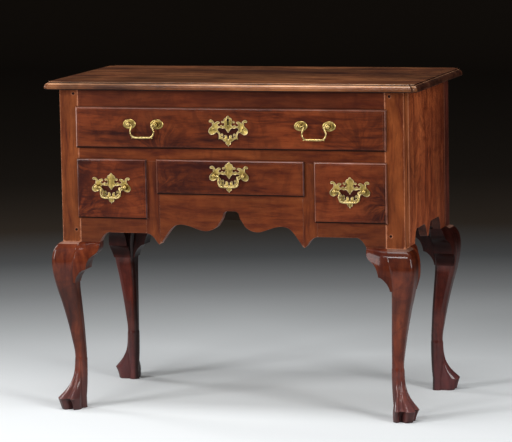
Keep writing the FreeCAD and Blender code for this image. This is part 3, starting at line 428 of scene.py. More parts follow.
@dataclass(frozen=True)
class StainAndShade:
    """Old polish and dirt gathered in an oval patch of a front behind its brass, with painted shade
    of the brass in it.
    """

    x: float
    z: float
    wide: float = 0.034
    high: float = 0.024
    heart: float = 0.6
    strength: float = 0.8

    def share(self, sheet: NodeSheet) -> Output:
        """How dark the stain and its painted shade are at a point.

        Args:
            sheet: the material's nodes.

        Returns:
            The value's socket.
        """
        moved = sheet.warped(sheet.place(shift=(-self.x, 0.0, -self.z)), scale=60.0, amount=0.006)
        oval = sheet.vector("MULTIPLY", moved, (1.0 / self.wide, 0.0, 1.0 / self.high))
        return sheet.spread(sheet.length(oval), self.heart, 1.0, self.strength, 0.0)


# Share of the dark colour for hollows darkened by dirt and painted shade, and for the painted
# shades of a piece's place.
GRIME_AND_SHADE_SHARE = 0.15
PORE_SHARE = 0.35
STREAK_SHARE = 0.58
BROAD_SHARE = 0.42
STREAK_HEIGHT = 0.6
PORE_HEIGHT = -0.5
UNEVEN_HEIGHT = 1.4
FIBRE_STOPS = (0.36, 0.49, 0.65)
METAL_STOPS = (0.34, 0.62)
EDGE_FRAY = 0.5
FOOT_FRAY = 0.05
REAR_FRAY = 0.08
WORN_BAND: Band = (0.60, 0.95)
DIRT_AND_SHADE_BAND: Band = (0.2, 0.6)
FOOT_SHEEN_BAND: Band = (0.05, 0.17)
HEAD_BAND: Band = (0.24, 0.38)
INNER_BAND: Band = (-0.26, -0.04)
UNDER_BAND: Band = (-0.36, -0.10)
REAR_BAND: Band = (0.05, 0.24)
SHINE_BAND: Band = (0.35, 0.8)
TARNISH_BAND: Band = (0.15, 0.7)
INSIDE_SHADE_FADE = 0.002
INSIDE_SHADE = 0.93


@dataclass(frozen=True)
class WoodFinish:
    """Old polished walnut, or the plainer wood behind it."""

    name: str
    dark: Colour
    middle: Colour
    light: Colour
    worn: Colour = (0.40, 0.19, 0.125)
    grain: Grain = Grain.ALONG_X
    shift: Point = (0.0, 0.0, 0.0)
    tilt: float = 0.02
    swirl: float = 0.035
    figure: float = 0.3
    figures: tuple[Figure | StainAndShade, ...] = ()
    pores: float = 0.4
    patina: float = 0.25
    wear: float = 0.6
    wear_reach: float = 0.0035
    # Darkening of hollows and corners: part dirt, part painted shade where shadow falls.
    dirt: float = 0.75
    dirt_reach: float = 0.009
    # Where set, the board is painted nearly black in front of this depth: painted shade inside the
    # case.
    inside_shade_edge: float = 0.0
    foot_sheen: float = 0.0
    head_shade: float = 0.0
    inner_shade: float = 0.0
    rear_shade: float = 0.0
    # The feet's tint is paler and pinker than the leg: a painted sheen, the pale floor's reflection
    # painted on.
    foot_tint: Colour = (0.120, 0.057, 0.060)
    under_shade: float = 0.65
    roughness: float = 0.5
    smoother: float = 0.07
    rougher: float = 0.09
    pore_roughness: float = 0.25
    ior: float = 1.16
    gloss: float = 0.22
    gloss_roughness: float = 0.22
    bump: float = 0.25

    def toned(self, name: str, dark: Colour, middle: Colour, light: Colour,
              **changes: object) -> "WoodFinish":
        """The same wood in other colours, with other changes by their field's name."""
        return replace(self, name=name, dark=dark, middle=middle, light=light, **changes)

    def stretch(self, along: float, across: float) -> Point:
        """Scale for each axis that draws a pattern out along the fibres."""
        return tuple(along if share else across for share in self.grain.value)

    def turned(self) -> Point:
        """A slight tilt of the grain, about the axes across it."""
        return tuple(0.0 if share else self.tilt for share in self.grain.value)

    def darker(self, share: float) -> Colour:
        """A share of the dark colour."""
        return tuple(share * part for part in self.dark)

    def fibres(self, sheet: NodeSheet, plain: Output) -> tuple[Output, Output]:
        """Colour and height of the long fibres.

        Args:
            sheet: the material's nodes.
            plain: coordinates of the board.

        Returns:
            The colour's and the streaks' sockets.
        """
        drawn = sheet.mapped(sheet.warped(plain, scale=5.0, amount=self.swirl),
                             self.stretch(along=0.14, across=1.0), turn=self.turned())
        streaks = sheet.noise(drawn, STREAKS)
        blend = sheet.total((streaks, STREAK_SHARE), (sheet.noise(drawn, BROAD), BROAD_SHARE))
        return sheet.ramp(blend, FIBRE_STOPS, (self.dark, self.middle, self.light)), streaks

    def curls(self, sheet: NodeSheet, plain: Output, colour: Output) -> Output:
        """Darken the wood where it is curled or swirled.

        Args:
            sheet: the material's nodes.
            plain: coordinates of the board.
            colour: the colour so far.

        Returns:
            The colour's socket.
        """
        drawn = sheet.mapped(sheet.warped(plain, scale=11.0, amount=0.07),
                             self.stretch(along=1.0, across=0.6))
        shade = sheet.spread(sheet.noise(drawn, CURLS), *CURLS.band, 0.0, self.figure)
        for share in (shade, *(figure.share(sheet) for figure in self.figures)):
            colour = sheet.mix(share, colour, self.dark)
        return colour

    def shades(self, sheet: NodeSheet, scuffs: Output) -> Iterator[tuple[Output, Colour]]:
        """The painted shades, and the feet's painted sheen, that come of the piece's place on the
        lowboy, and a darkening towards the back.

        Args:
            sheet: the material's nodes.
            scuffs: fine noise that frays the shades' borders.

        Returns:
            How strong each is at a point, with its colour.
        """
        painted_shade = self.darker(GRIME_AND_SHADE_SHARE)
        if self.inside_shade_edge:
            back = sheet.axes(sheet.place())[1]
            yield sheet.spread(back, self.inside_shade_edge - INSIDE_SHADE_FADE, self.inside_shade_edge,
                               INSIDE_SHADE, 0.0), painted_shade
        if self.foot_sheen:
            across, _, up = sheet.axes(sheet.place())
            height = sheet.total((up, 1.0), (scuffs, FOOT_FRAY))
            # Painted sheen: paler and pinker towards the floor.
            yield sheet.spread(height, *FOOT_SHEEN_BAND, self.foot_sheen, 0.0), self.foot_tint
            # Painted shade: darker at the top of a rear leg, on faces turned inward and on faces
            # turned down.
            yield sheet.spread(height, *HEAD_BAND, 0.0, self.head_shade), painted_shade
            facing, _, tilt = sheet.axes(sheet.add("TexCoord").outputs["Normal"])
            outward = sheet.maths("MULTIPLY", facing, across)
            yield sheet.spread(outward, *INNER_BAND, self.inner_shade, 0.0), painted_shade
            yield sheet.spread(tilt, *UNDER_BAND, self.under_shade, 0.0), painted_shade
        if self.rear_shade:
            back = sheet.total((sheet.axes(sheet.place())[1], 1.0), (scuffs, REAR_FRAY))
            yield sheet.spread(back, *REAR_BAND, 0.0, self.rear_shade), self.dark

    def wear_and_painted_shade(self, sheet: NodeSheet, plain: Output, colour: Output) -> Output:
        """Rub the edges pale, darken hollows and corners with dirt and painted shade, and lay on
        the shades of the piece's place.

        Args:
            sheet: the material's nodes.
            plain: coordinates of the board.
            colour: the colour so far.

        Returns:
            The colour's socket.
        """
        scuffs = sheet.noise(plain, SCUFFS)
        edges = sheet.total((sheet.walled(self.wear_reach, inside=True), 1.0),
                            (scuffs, EDGE_FRAY))
        colour = sheet.mix(sheet.spread(edges, *WORN_BAND, 0.0, self.wear), colour, self.worn)
        # Hollows and corners go darker: dirt and painted shade.
        hollows = sheet.walled(self.dirt_reach, own=False)
        colour = sheet.mix(sheet.spread(hollows, *DIRT_AND_SHADE_BAND, 0.0, self.dirt), colour,
                           self.darker(GRIME_AND_SHADE_SHARE))
        for share, shade in self.shades(sheet, scuffs):
            colour = sheet.mix(share, colour, shade)
        return colour

    def material(self) -> bpy.types.Material:
        """Write the wood's nodes.

        Returns:
            The material.
        """
        sheet = NodeSheet(self.name)
        plain = sheet.place(shift=self.shift)
        colour, streaks = self.fibres(sheet, plain)
        colour = self.curls(sheet, plain, colour)

        fine = sheet.place(scale=self.stretch(along=26.0, across=620.0), shift=self.shift)
        specks = sheet.noise(fine, PORES)
        pores = sheet.spread(specks, *PORES.band, 0.0, self.pores)
        colour = sheet.mix(pores, colour, self.darker(PORE_SHARE))

        tone = sheet.spread(sheet.noise(plain, PATCHES), *PATCHES.band, 1.0 - self.patina,
                            1.0 + self.patina)
        colour = sheet.mix(1.0, colour, sheet.grey(tone), "MULTIPLY")
        colour = self.wear_and_painted_shade(sheet, plain, colour)

        smears = sheet.spread(sheet.noise(plain, SMEARS), *SMEARS.band,
                              self.roughness - self.smoother, self.roughness + self.rougher)
        rough = sheet.total((smears, 1.0), (pores, self.pore_roughness))
        height = sheet.total((streaks, STREAK_HEIGHT), (specks, PORE_HEIGHT),
                             (sheet.noise(plain, UNEVEN), UNEVEN_HEIGHT))
        return sheet.finish(Base_Color=colour, Roughness=rough, IOR=self.ior,
                            Normal=sheet.relief(height, self.bump, distance=0.0007),
                            Coat_Weight=self.gloss, Coat_Roughness=self.gloss_roughness)


@dataclass(frozen=True)
class MetalFinish:
    """Cast and filed metal with a lacquered or tarnished skin."""

    name: str
    bright: Colour
    deep: Colour
    tarnish: Colour
    roughness: float
    tarnishing: float = 0.7
    spotting: float = 0.35
    edge_reach: float = 0.0012
    hollow_reach: float = 0.004
    smoother: float = 0.08
    rougher: float = 0.14
    shine: float = 0.6
    metallic: float = 1.0
    bump: float = 0.2

    def material(self) -> bpy.types.Material:
        """Write the metal's nodes.

        Returns:
            The material.
        """
        sheet = NodeSheet(self.name)
        plain = sheet.place()
        clouds = sheet.noise(plain, CLOUDS)
        colour = sheet.ramp(clouds, METAL_STOPS, (self.deep, self.bright))
        edges = sheet.walled(self.edge_reach, inside=True)
        colour = sheet.mix(sheet.spread(edges, *SHINE_BAND, 0.0, self.shine), colour, self.bright)
        hollows = sheet.spread(sheet.walled(self.hollow_reach), *TARNISH_BAND, 0.0,
                               self.tarnishing)
        spots = sheet.spread(sheet.noise(plain, SPOTS), *SPOTS.band, 0.0, self.spotting)
        for share in (hollows, spots):
            colour = sheet.mix(share, colour, self.tarnish)
        rough = sheet.spread(clouds, *CLOUDS.band, self.roughness - self.smoother,
                             self.roughness + self.rougher)
        height = sheet.maths("ADD", sheet.noise(plain, GRIT), clouds)
        return sheet.finish(Base_Color=colour, Roughness=rough, Metallic=self.metallic,
                            Normal=sheet.relief(height, self.bump, distance=0.0002))


@dataclass(frozen=True)
class StudioFinish:
    """Paper of the floor and backdrop with a painted pool of light: pale round the lowboy, and
    painted dark, with a warm tint, far from it.
    """

    name: str = "backdrop_paper_painted_light"
    paper: Colour = (0.728, 0.752, 0.765)
    middle: Point = (0.26, -0.86, 0.0)
    span: float = 12.0
    shades: tuple[tuple[float, float], ...] = (
        (0.0, 1.0), (0.9, 0.98), (1.25, 0.88), (1.56, 0.72), (2.04, 0.49), (2.58, 0.27),
        (3.2, 0.105), (3.9, 0.034), (5.2, 0.018),
    )
    far_start: float = 3.5
    far_tint: Colour = (1.55, 1.12, 0.80)

    def material(self) -> bpy.types.Material:
        """Write the paper's nodes.

        Returns:
            The material.
        """
        sheet = NodeSheet(self.name)
        away = sheet.length(sheet.place(shift=opposite(self.middle)))
        colours = []
        for far, shade in self.shades:
            tint = self.far_tint if far > self.far_start else (1.0, 1.0, 1.0)
            colours.append(tuple(shade * part * share for part, share in zip(self.paper, tint)))
        stops = [far / self.span for far, shade in self.shades]
        colour = sheet.ramp(sheet.maths("DIVIDE", away, self.span), stops, colours)
        return sheet.finish(Base_Color=colour, Roughness=0.95, Specular_IOR_Level=0.05)


# ---------------------------------------------------------------- walnut, brass and plain woods

WALNUT_DARK: Colour = (0.044, 0.0056, 0.0014)
WALNUT_LIGHT: Colour = (0.195, 0.046, 0.010)
FIGURED_DARK: Colour = (0.022, 0.0022, 0.0008)

STILE = WoodFinish(
    "stile_walnut", WALNUT_DARK, (0.116, 0.0258, 0.0052), (0.185, 0.047, 0.0108),
    worn=(0.50, 0.20, 0.105), grain=Grain.ALONG_Z, figure=0.15, wear=0.95, wear_reach=0.0065,
    shift=(0.31, 0.37, 0.17))
STILE_SIDE = STILE.toned(
    "stile_side_walnut", (0.085, 0.016, 0.005), (0.215, 0.058, 0.018), (0.30, 0.088, 0.030),
    figure=0.05, dirt=0.35)
# Darker copy for the rear posts: painted shade where the case shadows the rear corners.
SHADED_REAR_STILE = STILE.toned(
    "rear_stile_painted_shade_walnut", (0.020, 0.0036, 0.0022), (0.058, 0.0120, 0.0072), (0.092, 0.022, 0.013),
    wear=0.2)
RAIL = WoodFinish(
    "rail_walnut", WALNUT_DARK, (0.122, 0.0240, 0.0048), WALNUT_LIGHT, figure=0.35,
    shift=(1.9, 0.4, 0.9))
# Top rail darker, with wider hollow darkening: painted shade under the top's overhang.
SHADED_TOP_RAIL = RAIL.toned(
    "top_rail_painted_shade_walnut", WALNUT_DARK, (0.078, 0.0138, 0.0032), (0.132, 0.027, 0.0066),
    dirt_reach=0.014)
DIVIDER = WoodFinish(
    "divider_walnut", WALNUT_DARK, (0.105, 0.0205, 0.0042), WALNUT_LIGHT, grain=Grain.ALONG_Z,
    shift=(0.7, 2.1, 0.3))
SKIRT = WoodFinish(
    "skirt_walnut", WALNUT_DARK, (0.104, 0.0205, 0.0042), (0.150, 0.036, 0.0080), figure=0.25,
    shift=(3.3, 0.2, 1.7))
SIDE = WoodFinish(
    "side_walnut", (0.062, 0.0098, 0.0036), (0.190, 0.040, 0.012), (0.33, 0.085, 0.026),
    grain=Grain.ALONG_Z, figure=0.5, swirl=0.05, patina=0.35, gloss=0.3, ior=1.2,
    shift=(0.0, 0.71, 1.9), rear_shade=0.65)
SIDE_EDGE = SIDE.toned(
    "side_edge_walnut", (0.012, 0.0028, 0.0014), (0.034, 0.0082, 0.0040), (0.070, 0.020, 0.010),
    wear=0.3, gloss=0.1)
TOP = WoodFinish(
    "top_walnut", (0.040, 0.0088, 0.0046), (0.122, 0.039, 0.0135), (0.235, 0.092, 0.034),
    worn=(0.48, 0.25, 0.15), figure=0.35, patina=0.45,
    # The fan at the right rear corner darkens the top towards its right end.
    figures=(Figure((0.50, 0.12, 0.76), 0.36, 0.50, 3.0, 13.0, 0.09),), wear=0.8, wear_reach=0.004,
    gloss=0.4, gloss_roughness=0.2, ior=1.2, shift=(0.2, 0.78, 0.0))
TOP_EDGE = TOP.toned(
    "top_moulding_walnut", (0.040, 0.011, 0.004), (0.135, 0.043, 0.013), (0.20, 0.076, 0.026),
    figure=0.25, figures=(), wear=0.2, gloss=0.3, bump=0.10)
# Crest of the moulding painted pale: wear and a painted highlight.
TOP_HIGHLIT_CREST = TOP_EDGE.toned(
    "top_crest_worn_and_highlit_walnut", (0.14, 0.052, 0.020), (0.40, 0.19, 0.095), (0.60, 0.34, 0.19), wear=0.4,
    gloss=0.8)
TOP_END = TOP_EDGE.toned(
    "top_end_walnut", (0.012, 0.003, 0.0014), (0.038, 0.0105, 0.0048), (0.085, 0.030, 0.014),
    gloss=0.15)
# Quirk, undersides and the lowest part of the edge painted near black: painted shade.
TOP_SHADED_QUIRK = TOP_EDGE.toned(
    "top_quirk_painted_shade_walnut", (0.008, 0.0022, 0.001), (0.016, 0.005, 0.0025), (0.03, 0.010, 0.005),
    wear=0.0, gloss=0.05)
LEG = WoodFinish(
    "leg_walnut", (0.030, 0.0034, 0.0014), (0.082, 0.0128, 0.0036), (0.150, 0.030, 0.0085),
    grain=Grain.ALONG_Z, figure=0.45, pores=0.3, wear=0.5, patina=0.38, roughness=0.45, ior=1.14,
    gloss=0.44, gloss_roughness=0.10, foot_sheen=0.5, inner_shade=0.35, shift=(0.6, 0.3, 1.2))
# The knee's upward ledge painted pale and glossy: wear and painted highlight.
KNEE_WORN_HIGHLIT_LEDGE = LEG.toned(
    "knee_ledge_worn_and_highlit_walnut", (0.10, 0.040, 0.026), (0.22, 0.100, 0.068), (0.36, 0.19, 0.135), dirt=0.2,
    gloss=0.6)
# Darker copies for the rear legs and knee blocks: painted shade where the case shadows them.
SHADED_REAR_LEG = LEG.toned(
    "rear_leg_painted_shade_walnut", (0.026, 0.0034, 0.0022), (0.066, 0.0100, 0.0060), (0.118, 0.023, 0.0140),
    head_shade=0.75, inner_shade=0.8, foot_tint=(0.074, 0.030, 0.034))
KNEE_BLOCK = replace(
    LEG, name="knee_block_walnut", middle=(0.080, 0.0135, 0.0042), wear=0.0, gloss=0.15,
    shift=(2.6, 0.3, 1.4))
SHADED_REAR_KNEE_BLOCK = replace(
    SHADED_REAR_LEG, name="rear_knee_block_painted_shade_walnut", wear=0.0, gloss=0.1, shift=(2.6, 0.3, 1.4))
TOP_FRONT = WoodFinish(
    "top_front_walnut", FIGURED_DARK, (0.120, 0.022, 0.005), (0.165, 0.036, 0.0085), figure=0.35,
    shift=(0.35, 0.1, 0.4),
    figures=(
        Figure((-0.165, -0.216, 0.572), 0.110, 0.75),
        Figure((0.300, -0.216, 0.590), 0.110, 0.40),
        StainAndShade(0.0, 0.6285),
    ))
LEFT_FRONT = WoodFinish(
    "left_front_walnut", FIGURED_DARK, (0.098, 0.0168, 0.0038), (0.165, 0.036, 0.0085), figure=0.45,
    swirl=0.07, shift=(2.2, 0.1, 1.75),
    figures=(
        Figure((-0.372, -0.216, 0.430), 0.125, 0.95, 5.0, 26.0),
        Figure((-0.372, -0.216, 0.560), 0.085, 0.85, 4.0, 30.0),
        StainAndShade(-0.274, 0.499),
    ))
MIDDLE_FRONT = WoodFinish(
    "middle_front_walnut", FIGURED_DARK, (0.080, 0.0138, 0.0031), (0.132, 0.0285, 0.0066),
    figure=0.35, swirl=0.05, shift=(4.1, 0.6, 2.2),
    figures=(Figure((-0.172, -0.216, 0.500), 0.130, 0.75, 4.0, 34.0, 0.06), StainAndShade(0.0, 0.530)))
RIGHT_FRONT = WoodFinish(
    "right_front_walnut", FIGURED_DARK, (0.088, 0.0150, 0.0036), (0.150, 0.0325, 0.0082),
    figure=0.35, swirl=0.06, shift=(6.3, 1.4, 0.7),
    figures=(Figure((0.362, -0.216, 0.478), 0.075, 0.90, 3.5, 30.0), StainAndShade(0.274, 0.499)))
# Near black underside of the lips: painted shadow under the lip.
SHADED_UNDERSIDE_LIP = WoodFinish(
    "lip_underside_painted_shade_walnut", (0.006, 0.0012, 0.0006), (0.014, 0.0028, 0.0012), (0.03, 0.006, 0.0025),
    worn=(0.06, 0.02, 0.012), gloss=0.05)
PEG = WoodFinish(
    "peg_walnut", (0.004, 0.001, 0.0006), (0.010, 0.002, 0.001), (0.02, 0.004, 0.002),
    grain=Grain.ALONG_Y, wear=0.0, gloss=0.0)
POPLAR = WoodFinish(
    "drawer_lining_poplar", (0.16, 0.095, 0.045), (0.28, 0.18, 0.09), (0.38, 0.26, 0.14),
    worn=(0.42, 0.30, 0.18), grain=Grain.ALONG_Y, figure=0.1, pores=0.15, roughness=0.62, gloss=0.0,
    ior=1.3, bump=0.3)
POPLAR_ACROSS = POPLAR.toned(
    "drawer_back_poplar", (0.15, 0.09, 0.045), (0.26, 0.17, 0.085), (0.36, 0.245, 0.13),
    grain=Grain.ALONG_X)
PINE_BACK = WoodFinish(
    "back_panel_pine", (0.10, 0.050, 0.022), (0.18, 0.10, 0.048), (0.26, 0.16, 0.08),
    worn=(0.36, 0.24, 0.14), figure=0.15, pores=0.2, roughness=0.68, gloss=0.0, ior=1.28, bump=0.35,
    shift=(0.5, 0.0, 1.1))
BRASS = MetalFinish(
    "cast_brass", (0.40, 0.295, 0.088), (0.26, 0.180, 0.045), (0.07, 0.035, 0.010), roughness=0.44,
    metallic=0.85)
BRASS_RIM = replace(
    BRASS, name="cast_brass_rim", bright=(0.62, 0.475, 0.27), deep=(0.40, 0.29, 0.13),
    tarnishing=0.2)
ROSETTE_BRASS = replace(
    BRASS, name="turned_brass", bright=(0.53, 0.39, 0.145), roughness=0.32, tarnishing=0.9,
    metallic=1.0)
BAIL_BRASS = MetalFinish(
    "bail_brass", (0.62, 0.48, 0.21), (0.42, 0.30, 0.10), (0.10, 0.055, 0.018), roughness=0.27)
LOCK_BRASS = MetalFinish(
    "lock_brass", (0.50, 0.37, 0.15), (0.30, 0.21, 0.08), (0.07, 0.04, 0.015), roughness=0.42)
IRON = MetalFinish(
    "lock_iron", (0.26, 0.25, 0.24), (0.12, 0.115, 0.11), (0.06, 0.03, 0.02), roughness=0.45)


class Workshop:
    """Keeps each finish's material, so that it is written once."""

    def __init__(self) -> None:
        """Start with an empty shelf."""
        self.shelf: dict[str, bpy.types.Material] = {}

    def materials(self, *finishes: WoodFinish | MetalFinish) -> list[bpy.types.Material]:
        """The finishes' materials.

        Args:
            finishes: the finishes, in order.

        Returns:
            Their materials, each made when it is first asked for.
        """
        for finish in finishes:
            if finish.name not in self.shelf:
                self.shelf[finish.name] = finish.material()
        return [self.shelf[finish.name] for finish in finishes]

    def dress(self, finish: WoodFinish | MetalFinish, *names: str) -> None:
        """Give CAD nodes one finish in place of what they had.

        Args:
            finish: the finish.
            names: the nodes' names.
        """
        for name in names:
            data = frame["nodes"][name].data
            data.materials.clear()
            data.materials.append(*self.materials(finish))


# ---------------------------------------------------------------- mesh helpers

MERGE_DISTANCE = 2e-6
FLAT_ANGLE = math.radians(0.4)
SHARP_ANGLE = math.radians(40.0)
BACKWARD = Vector((0.0, 1.0, 0.0))


def copied(name: str, whole: bool = True) -> Mesh:
    """Merged copy of a CAD node.

    Args:
        name: the node's name.
        whole: whether its flat faces become whole again.

    Returns:
        The copy, free to be changed.
    """
    mesh = bmesh.new()
    mesh.from_mesh(frame["nodes"][name].data)
    bmesh.ops.remove_doubles(mesh, verts=mesh.verts, dist=MERGE_DISTANCE)
    if whole:
        bmesh.ops.dissolve_limit(mesh, angle_limit=FLAT_ANGLE, verts=mesh.verts, edges=mesh.edges)
    return mesh


def cut(mesh: Mesh, place: Point, normal: Point, drop: bool = False) -> None:
    """Cut a mesh along a plane.

    Args:
        mesh: the mesh.
        place: a point of the plane.
        normal: the plane's direction.
        drop: whether the side that the normal points to falls away.
    """
    bmesh.ops.bisect_plane(mesh, geom=[*mesh.verts, *mesh.edges, *mesh.faces],
                           dist=MERGE_DISTANCE, plane_co=place, plane_no=normal, clear_outer=drop)


def open_edges(mesh: Mesh) -> list[Edge]:
    """Edges that have one face only."""
    return [edge for edge in mesh.edges if edge.is_boundary]


def close_holes(mesh: Mesh) -> None:
    """Put a face into each hole of a mesh."""
    bmesh.ops.holes_fill(mesh, edges=open_edges(mesh), sides=0)


def drawn_line(mesh: Mesh, points: Iterable[Point]) -> tuple[list[bmesh.types.BMVert], list[Edge]]:
    """Draw a line of edges through points.

    Args:
        mesh: the mesh it is drawn in.
        points: the points in order.

    Returns:
        Its vertices and its edges.
    """
    verts = [mesh.verts.new(point) for point in points]
    return verts, [mesh.edges.new(pair) for pair in zip(verts, verts[1:])]


def settle(mesh: Mesh, scale: Point, place: Point) -> None:
    """Stretch a mesh, move it to its place and turn its faces outwards."""
    bmesh.ops.scale(mesh, vec=scale, verts=mesh.verts)
    bmesh.ops.translate(mesh, vec=place, verts=mesh.verts)
    bmesh.ops.recalc_face_normals(mesh, faces=mesh.faces)


def standing(name: str, data: bpy.types.ID) -> bpy.types.Object:
    """New object in the scene, at the origin.

    Args:
        name: its name.
        data: its mesh, lamp or camera.

    Returns:
        The object.
    """
    obj = bpy.data.objects.new(name, data)
    bpy.context.scene.collection.objects.link(obj)
    return obj


def smoothed(name: str, mesh: Mesh, *materials: bpy.types.Material) -> bpy.types.Object:
    """Smooth-shaded object of a mesh, which is freed.

    Args:
        name: the object's name.
        mesh: its mesh.
        materials: its materials, in the order of its faces' material indices.

    Returns:
        The object.
    """
    data = bpy.data.meshes.new(name)
    for material in materials:
        data.materials.append(material)
    mesh.to_mesh(data)
    mesh.free()
    data.shade_smooth()
    return standing(name, data)


def piece(mesh: Mesh, materials: Iterable[bpy.types.Material], body: str, slot: Slot,
          *nodes: str, weighted: bool = True) -> None:
    """Turn a finished mesh into a piece of the lowboy.

    Args:
        mesh: its mesh, which is freed.
        materials: its finishes, in the order of its faces' material indices.
        body: the CAD body that carries it.
        slot: the record's material slot it belongs to; it is not used.
        nodes: the CAD nodes it stands for; the first one names it.
        weighted: whether its flat faces keep their own normals.
    """
    obj = smoothed(nodes[0] + "_finished", mesh, *materials)
    obj.data.set_sharp_from_angle(angle=SHARP_ANGLE)
    if weighted:
        obj.modifiers.new("flat_faces", "WEIGHTED_NORMAL").keep_sharp = True
    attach(obj, body)
    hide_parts(*nodes)
    LOG.info("%s: %d faces, on %s", obj.name, len(obj.data.polygons), body)


def anywhere(edge: Edge) -> bool:
    """Choose every edge."""
    return True


@dataclass(frozen=True)
class Easing:
    """How the sharp edges of a board have been rubbed round."""

    radius: float
    segments: int
    step: float
    waver: float
    waver_scale: float = 60.0
    broad: float = 0.0002

    def apply(self, mesh: Mesh, seed: float, chosen: Callable[[Edge], bool] = anywhere) -> None:
        """Round the chosen edges, a little unevenly.

        Args:
            mesh: the board.
            seed: makes the unevenness its own.
            chosen: says of each sharp edge whether it is rubbed.
        """
        for edge in self.sharp(mesh, chosen):
            cuts = int(edge.calc_length() / self.step)
            if cuts > 0:
                bmesh.ops.subdivide_edges(mesh, edges=[edge], cuts=cuts)
        before = set(mesh.verts)
        bmesh.ops.bevel(mesh, geom=self.sharp(mesh, chosen), offset=self.radius,
                        offset_type="OFFSET", segments=self.segments, profile=0.5,
                        affect="EDGES", clamp_overlap=True, material=-1)
        mesh.normal_update()
        for vert in mesh.verts:
            if vert not in before:
                self.sink(vert, seed)

    def sharp(self, mesh: Mesh, chosen: Callable[[Edge], bool]) -> list[Edge]:
        """The sharp outer edges that are chosen."""
        return [edge for edge in mesh.edges if edge.is_manifold
                and edge.calc_face_angle_signed(0.0) > SHARP_ANGLE and chosen(edge)]

    def sink(self, vert: bmesh.types.BMVert, seed: float) -> None:
        """Let a vertex of a rounded edge sink a little, but not out of a broad face.

        Args:
            vert: the vertex.
            seed: shift of the noise that says how far.
        """
        shift = Vector((seed, 2.3 * seed, -1.7 * seed))
        depth = 0.5 * (noise.noise(vert.co * self.waver_scale + shift) - 1.0)
        push = vert.normal * (depth * self.waver)
        for face in vert.link_faces:
            if face.calc_area() > self.broad:
                push -= push.dot(face.normal) * face.normal
        vert.co += push


class RingSkin:
    """A closed skin drawn over a run of rings that have as many points each."""

    def __init__(self, points: int) -> None:
        """Start with one flat disc.

        Args:
            points: how many points each ring has.
        """
        self.mesh = bmesh.new()
        made = bmesh.ops.create_circle(self.mesh, cap_ends=True, segments=points, radius=1.0)
        self.ring = list(made["verts"])
        self.started = False

    def add(self, points: Sequence[Vector]) -> None:
        """Draw the skin on to the next ring.

        Args:
            points: the ring's points in order.
        """
        if self.started:
            order = {vert: index for index, vert in enumerate(self.ring)}
            edges = [edge for edge in {edge for vert in self.ring for edge in vert.link_edges}
                     if edge.verts[0] in order and edge.verts[1] in order]
            for vert in bmesh.ops.extrude_edge_only(self.mesh, edges=edges)["geom"]:
                if isinstance(vert, bmesh.types.BMVert):
                    root = next(edge.other_vert(vert) for edge in vert.link_edges
                                if edge.other_vert(vert) in order)
                    self.ring[order[root]] = vert
        self.started = True
        for vert, point in zip(self.ring, points):
            vert.co = point

    def close(self) -> Mesh:
        """Close the far end and turn the faces outwards.

        Returns:
            The finished mesh.
        """
        bmesh.ops.contextual_create(self.mesh, geom=self.ring)
        bmesh.ops.recalc_face_normals(self.mesh, faces=self.mesh.faces)
        return self.mesh


def join(parts: Iterable[Mesh]) -> Mesh:
    """One mesh from several, which are freed.

    Args:
        parts: the meshes.

    Returns:
        The joined mesh.
    """
    whole = bmesh.new()
    for part in parts:
        carrier = bpy.data.meshes.new("carrier")
        part.to_mesh(carrier)
        part.free()
        whole.from_mesh(carrier)
        bpy.data.meshes.remove(carrier)
    return whole


def smooth_through(knots: Sequence[Sequence[float]], at: float) -> list[float]:
    """Values of a smooth curve through knots.

    Args:
        knots: rows with the position first and the values after it.
        at: the position asked for.

    Returns:
        The values there.
    """
    last = len(knots) - 1
    index = max(0, min(last - 1, sum(1 for knot in knots if knot[0] <= at) - 1))
    before, low, high, after = (knots[max(0, min(last, index + step))] for step in (-1, 0, 1, 2))
    span = high[0] - low[0]
    share = (at - low[0]) / span
    values = []
    for column in range(1, len(low)):
        slope_low = (high[column] - before[column]) / (high[0] - before[0]) * span
        slope_high = (after[column] - low[column]) / (after[0] - low[0]) * span
        values.append(
            (2 * share ** 3 - 3 * share ** 2 + 1) * low[column]
            + (share ** 3 - 2 * share ** 2 + share) * slope_low
            + (3 * share ** 2 - 2 * share ** 3) * high[column]
            + (share ** 3 - share ** 2) * slope_high
        )
    return values


def full_turn(points: int) -> list[float]:
    """Angles of evenly spaced points round a full turn."""
    return [2 * math.pi * index / points for index in range(points)]


# ---------------------------------------------------------------- the case

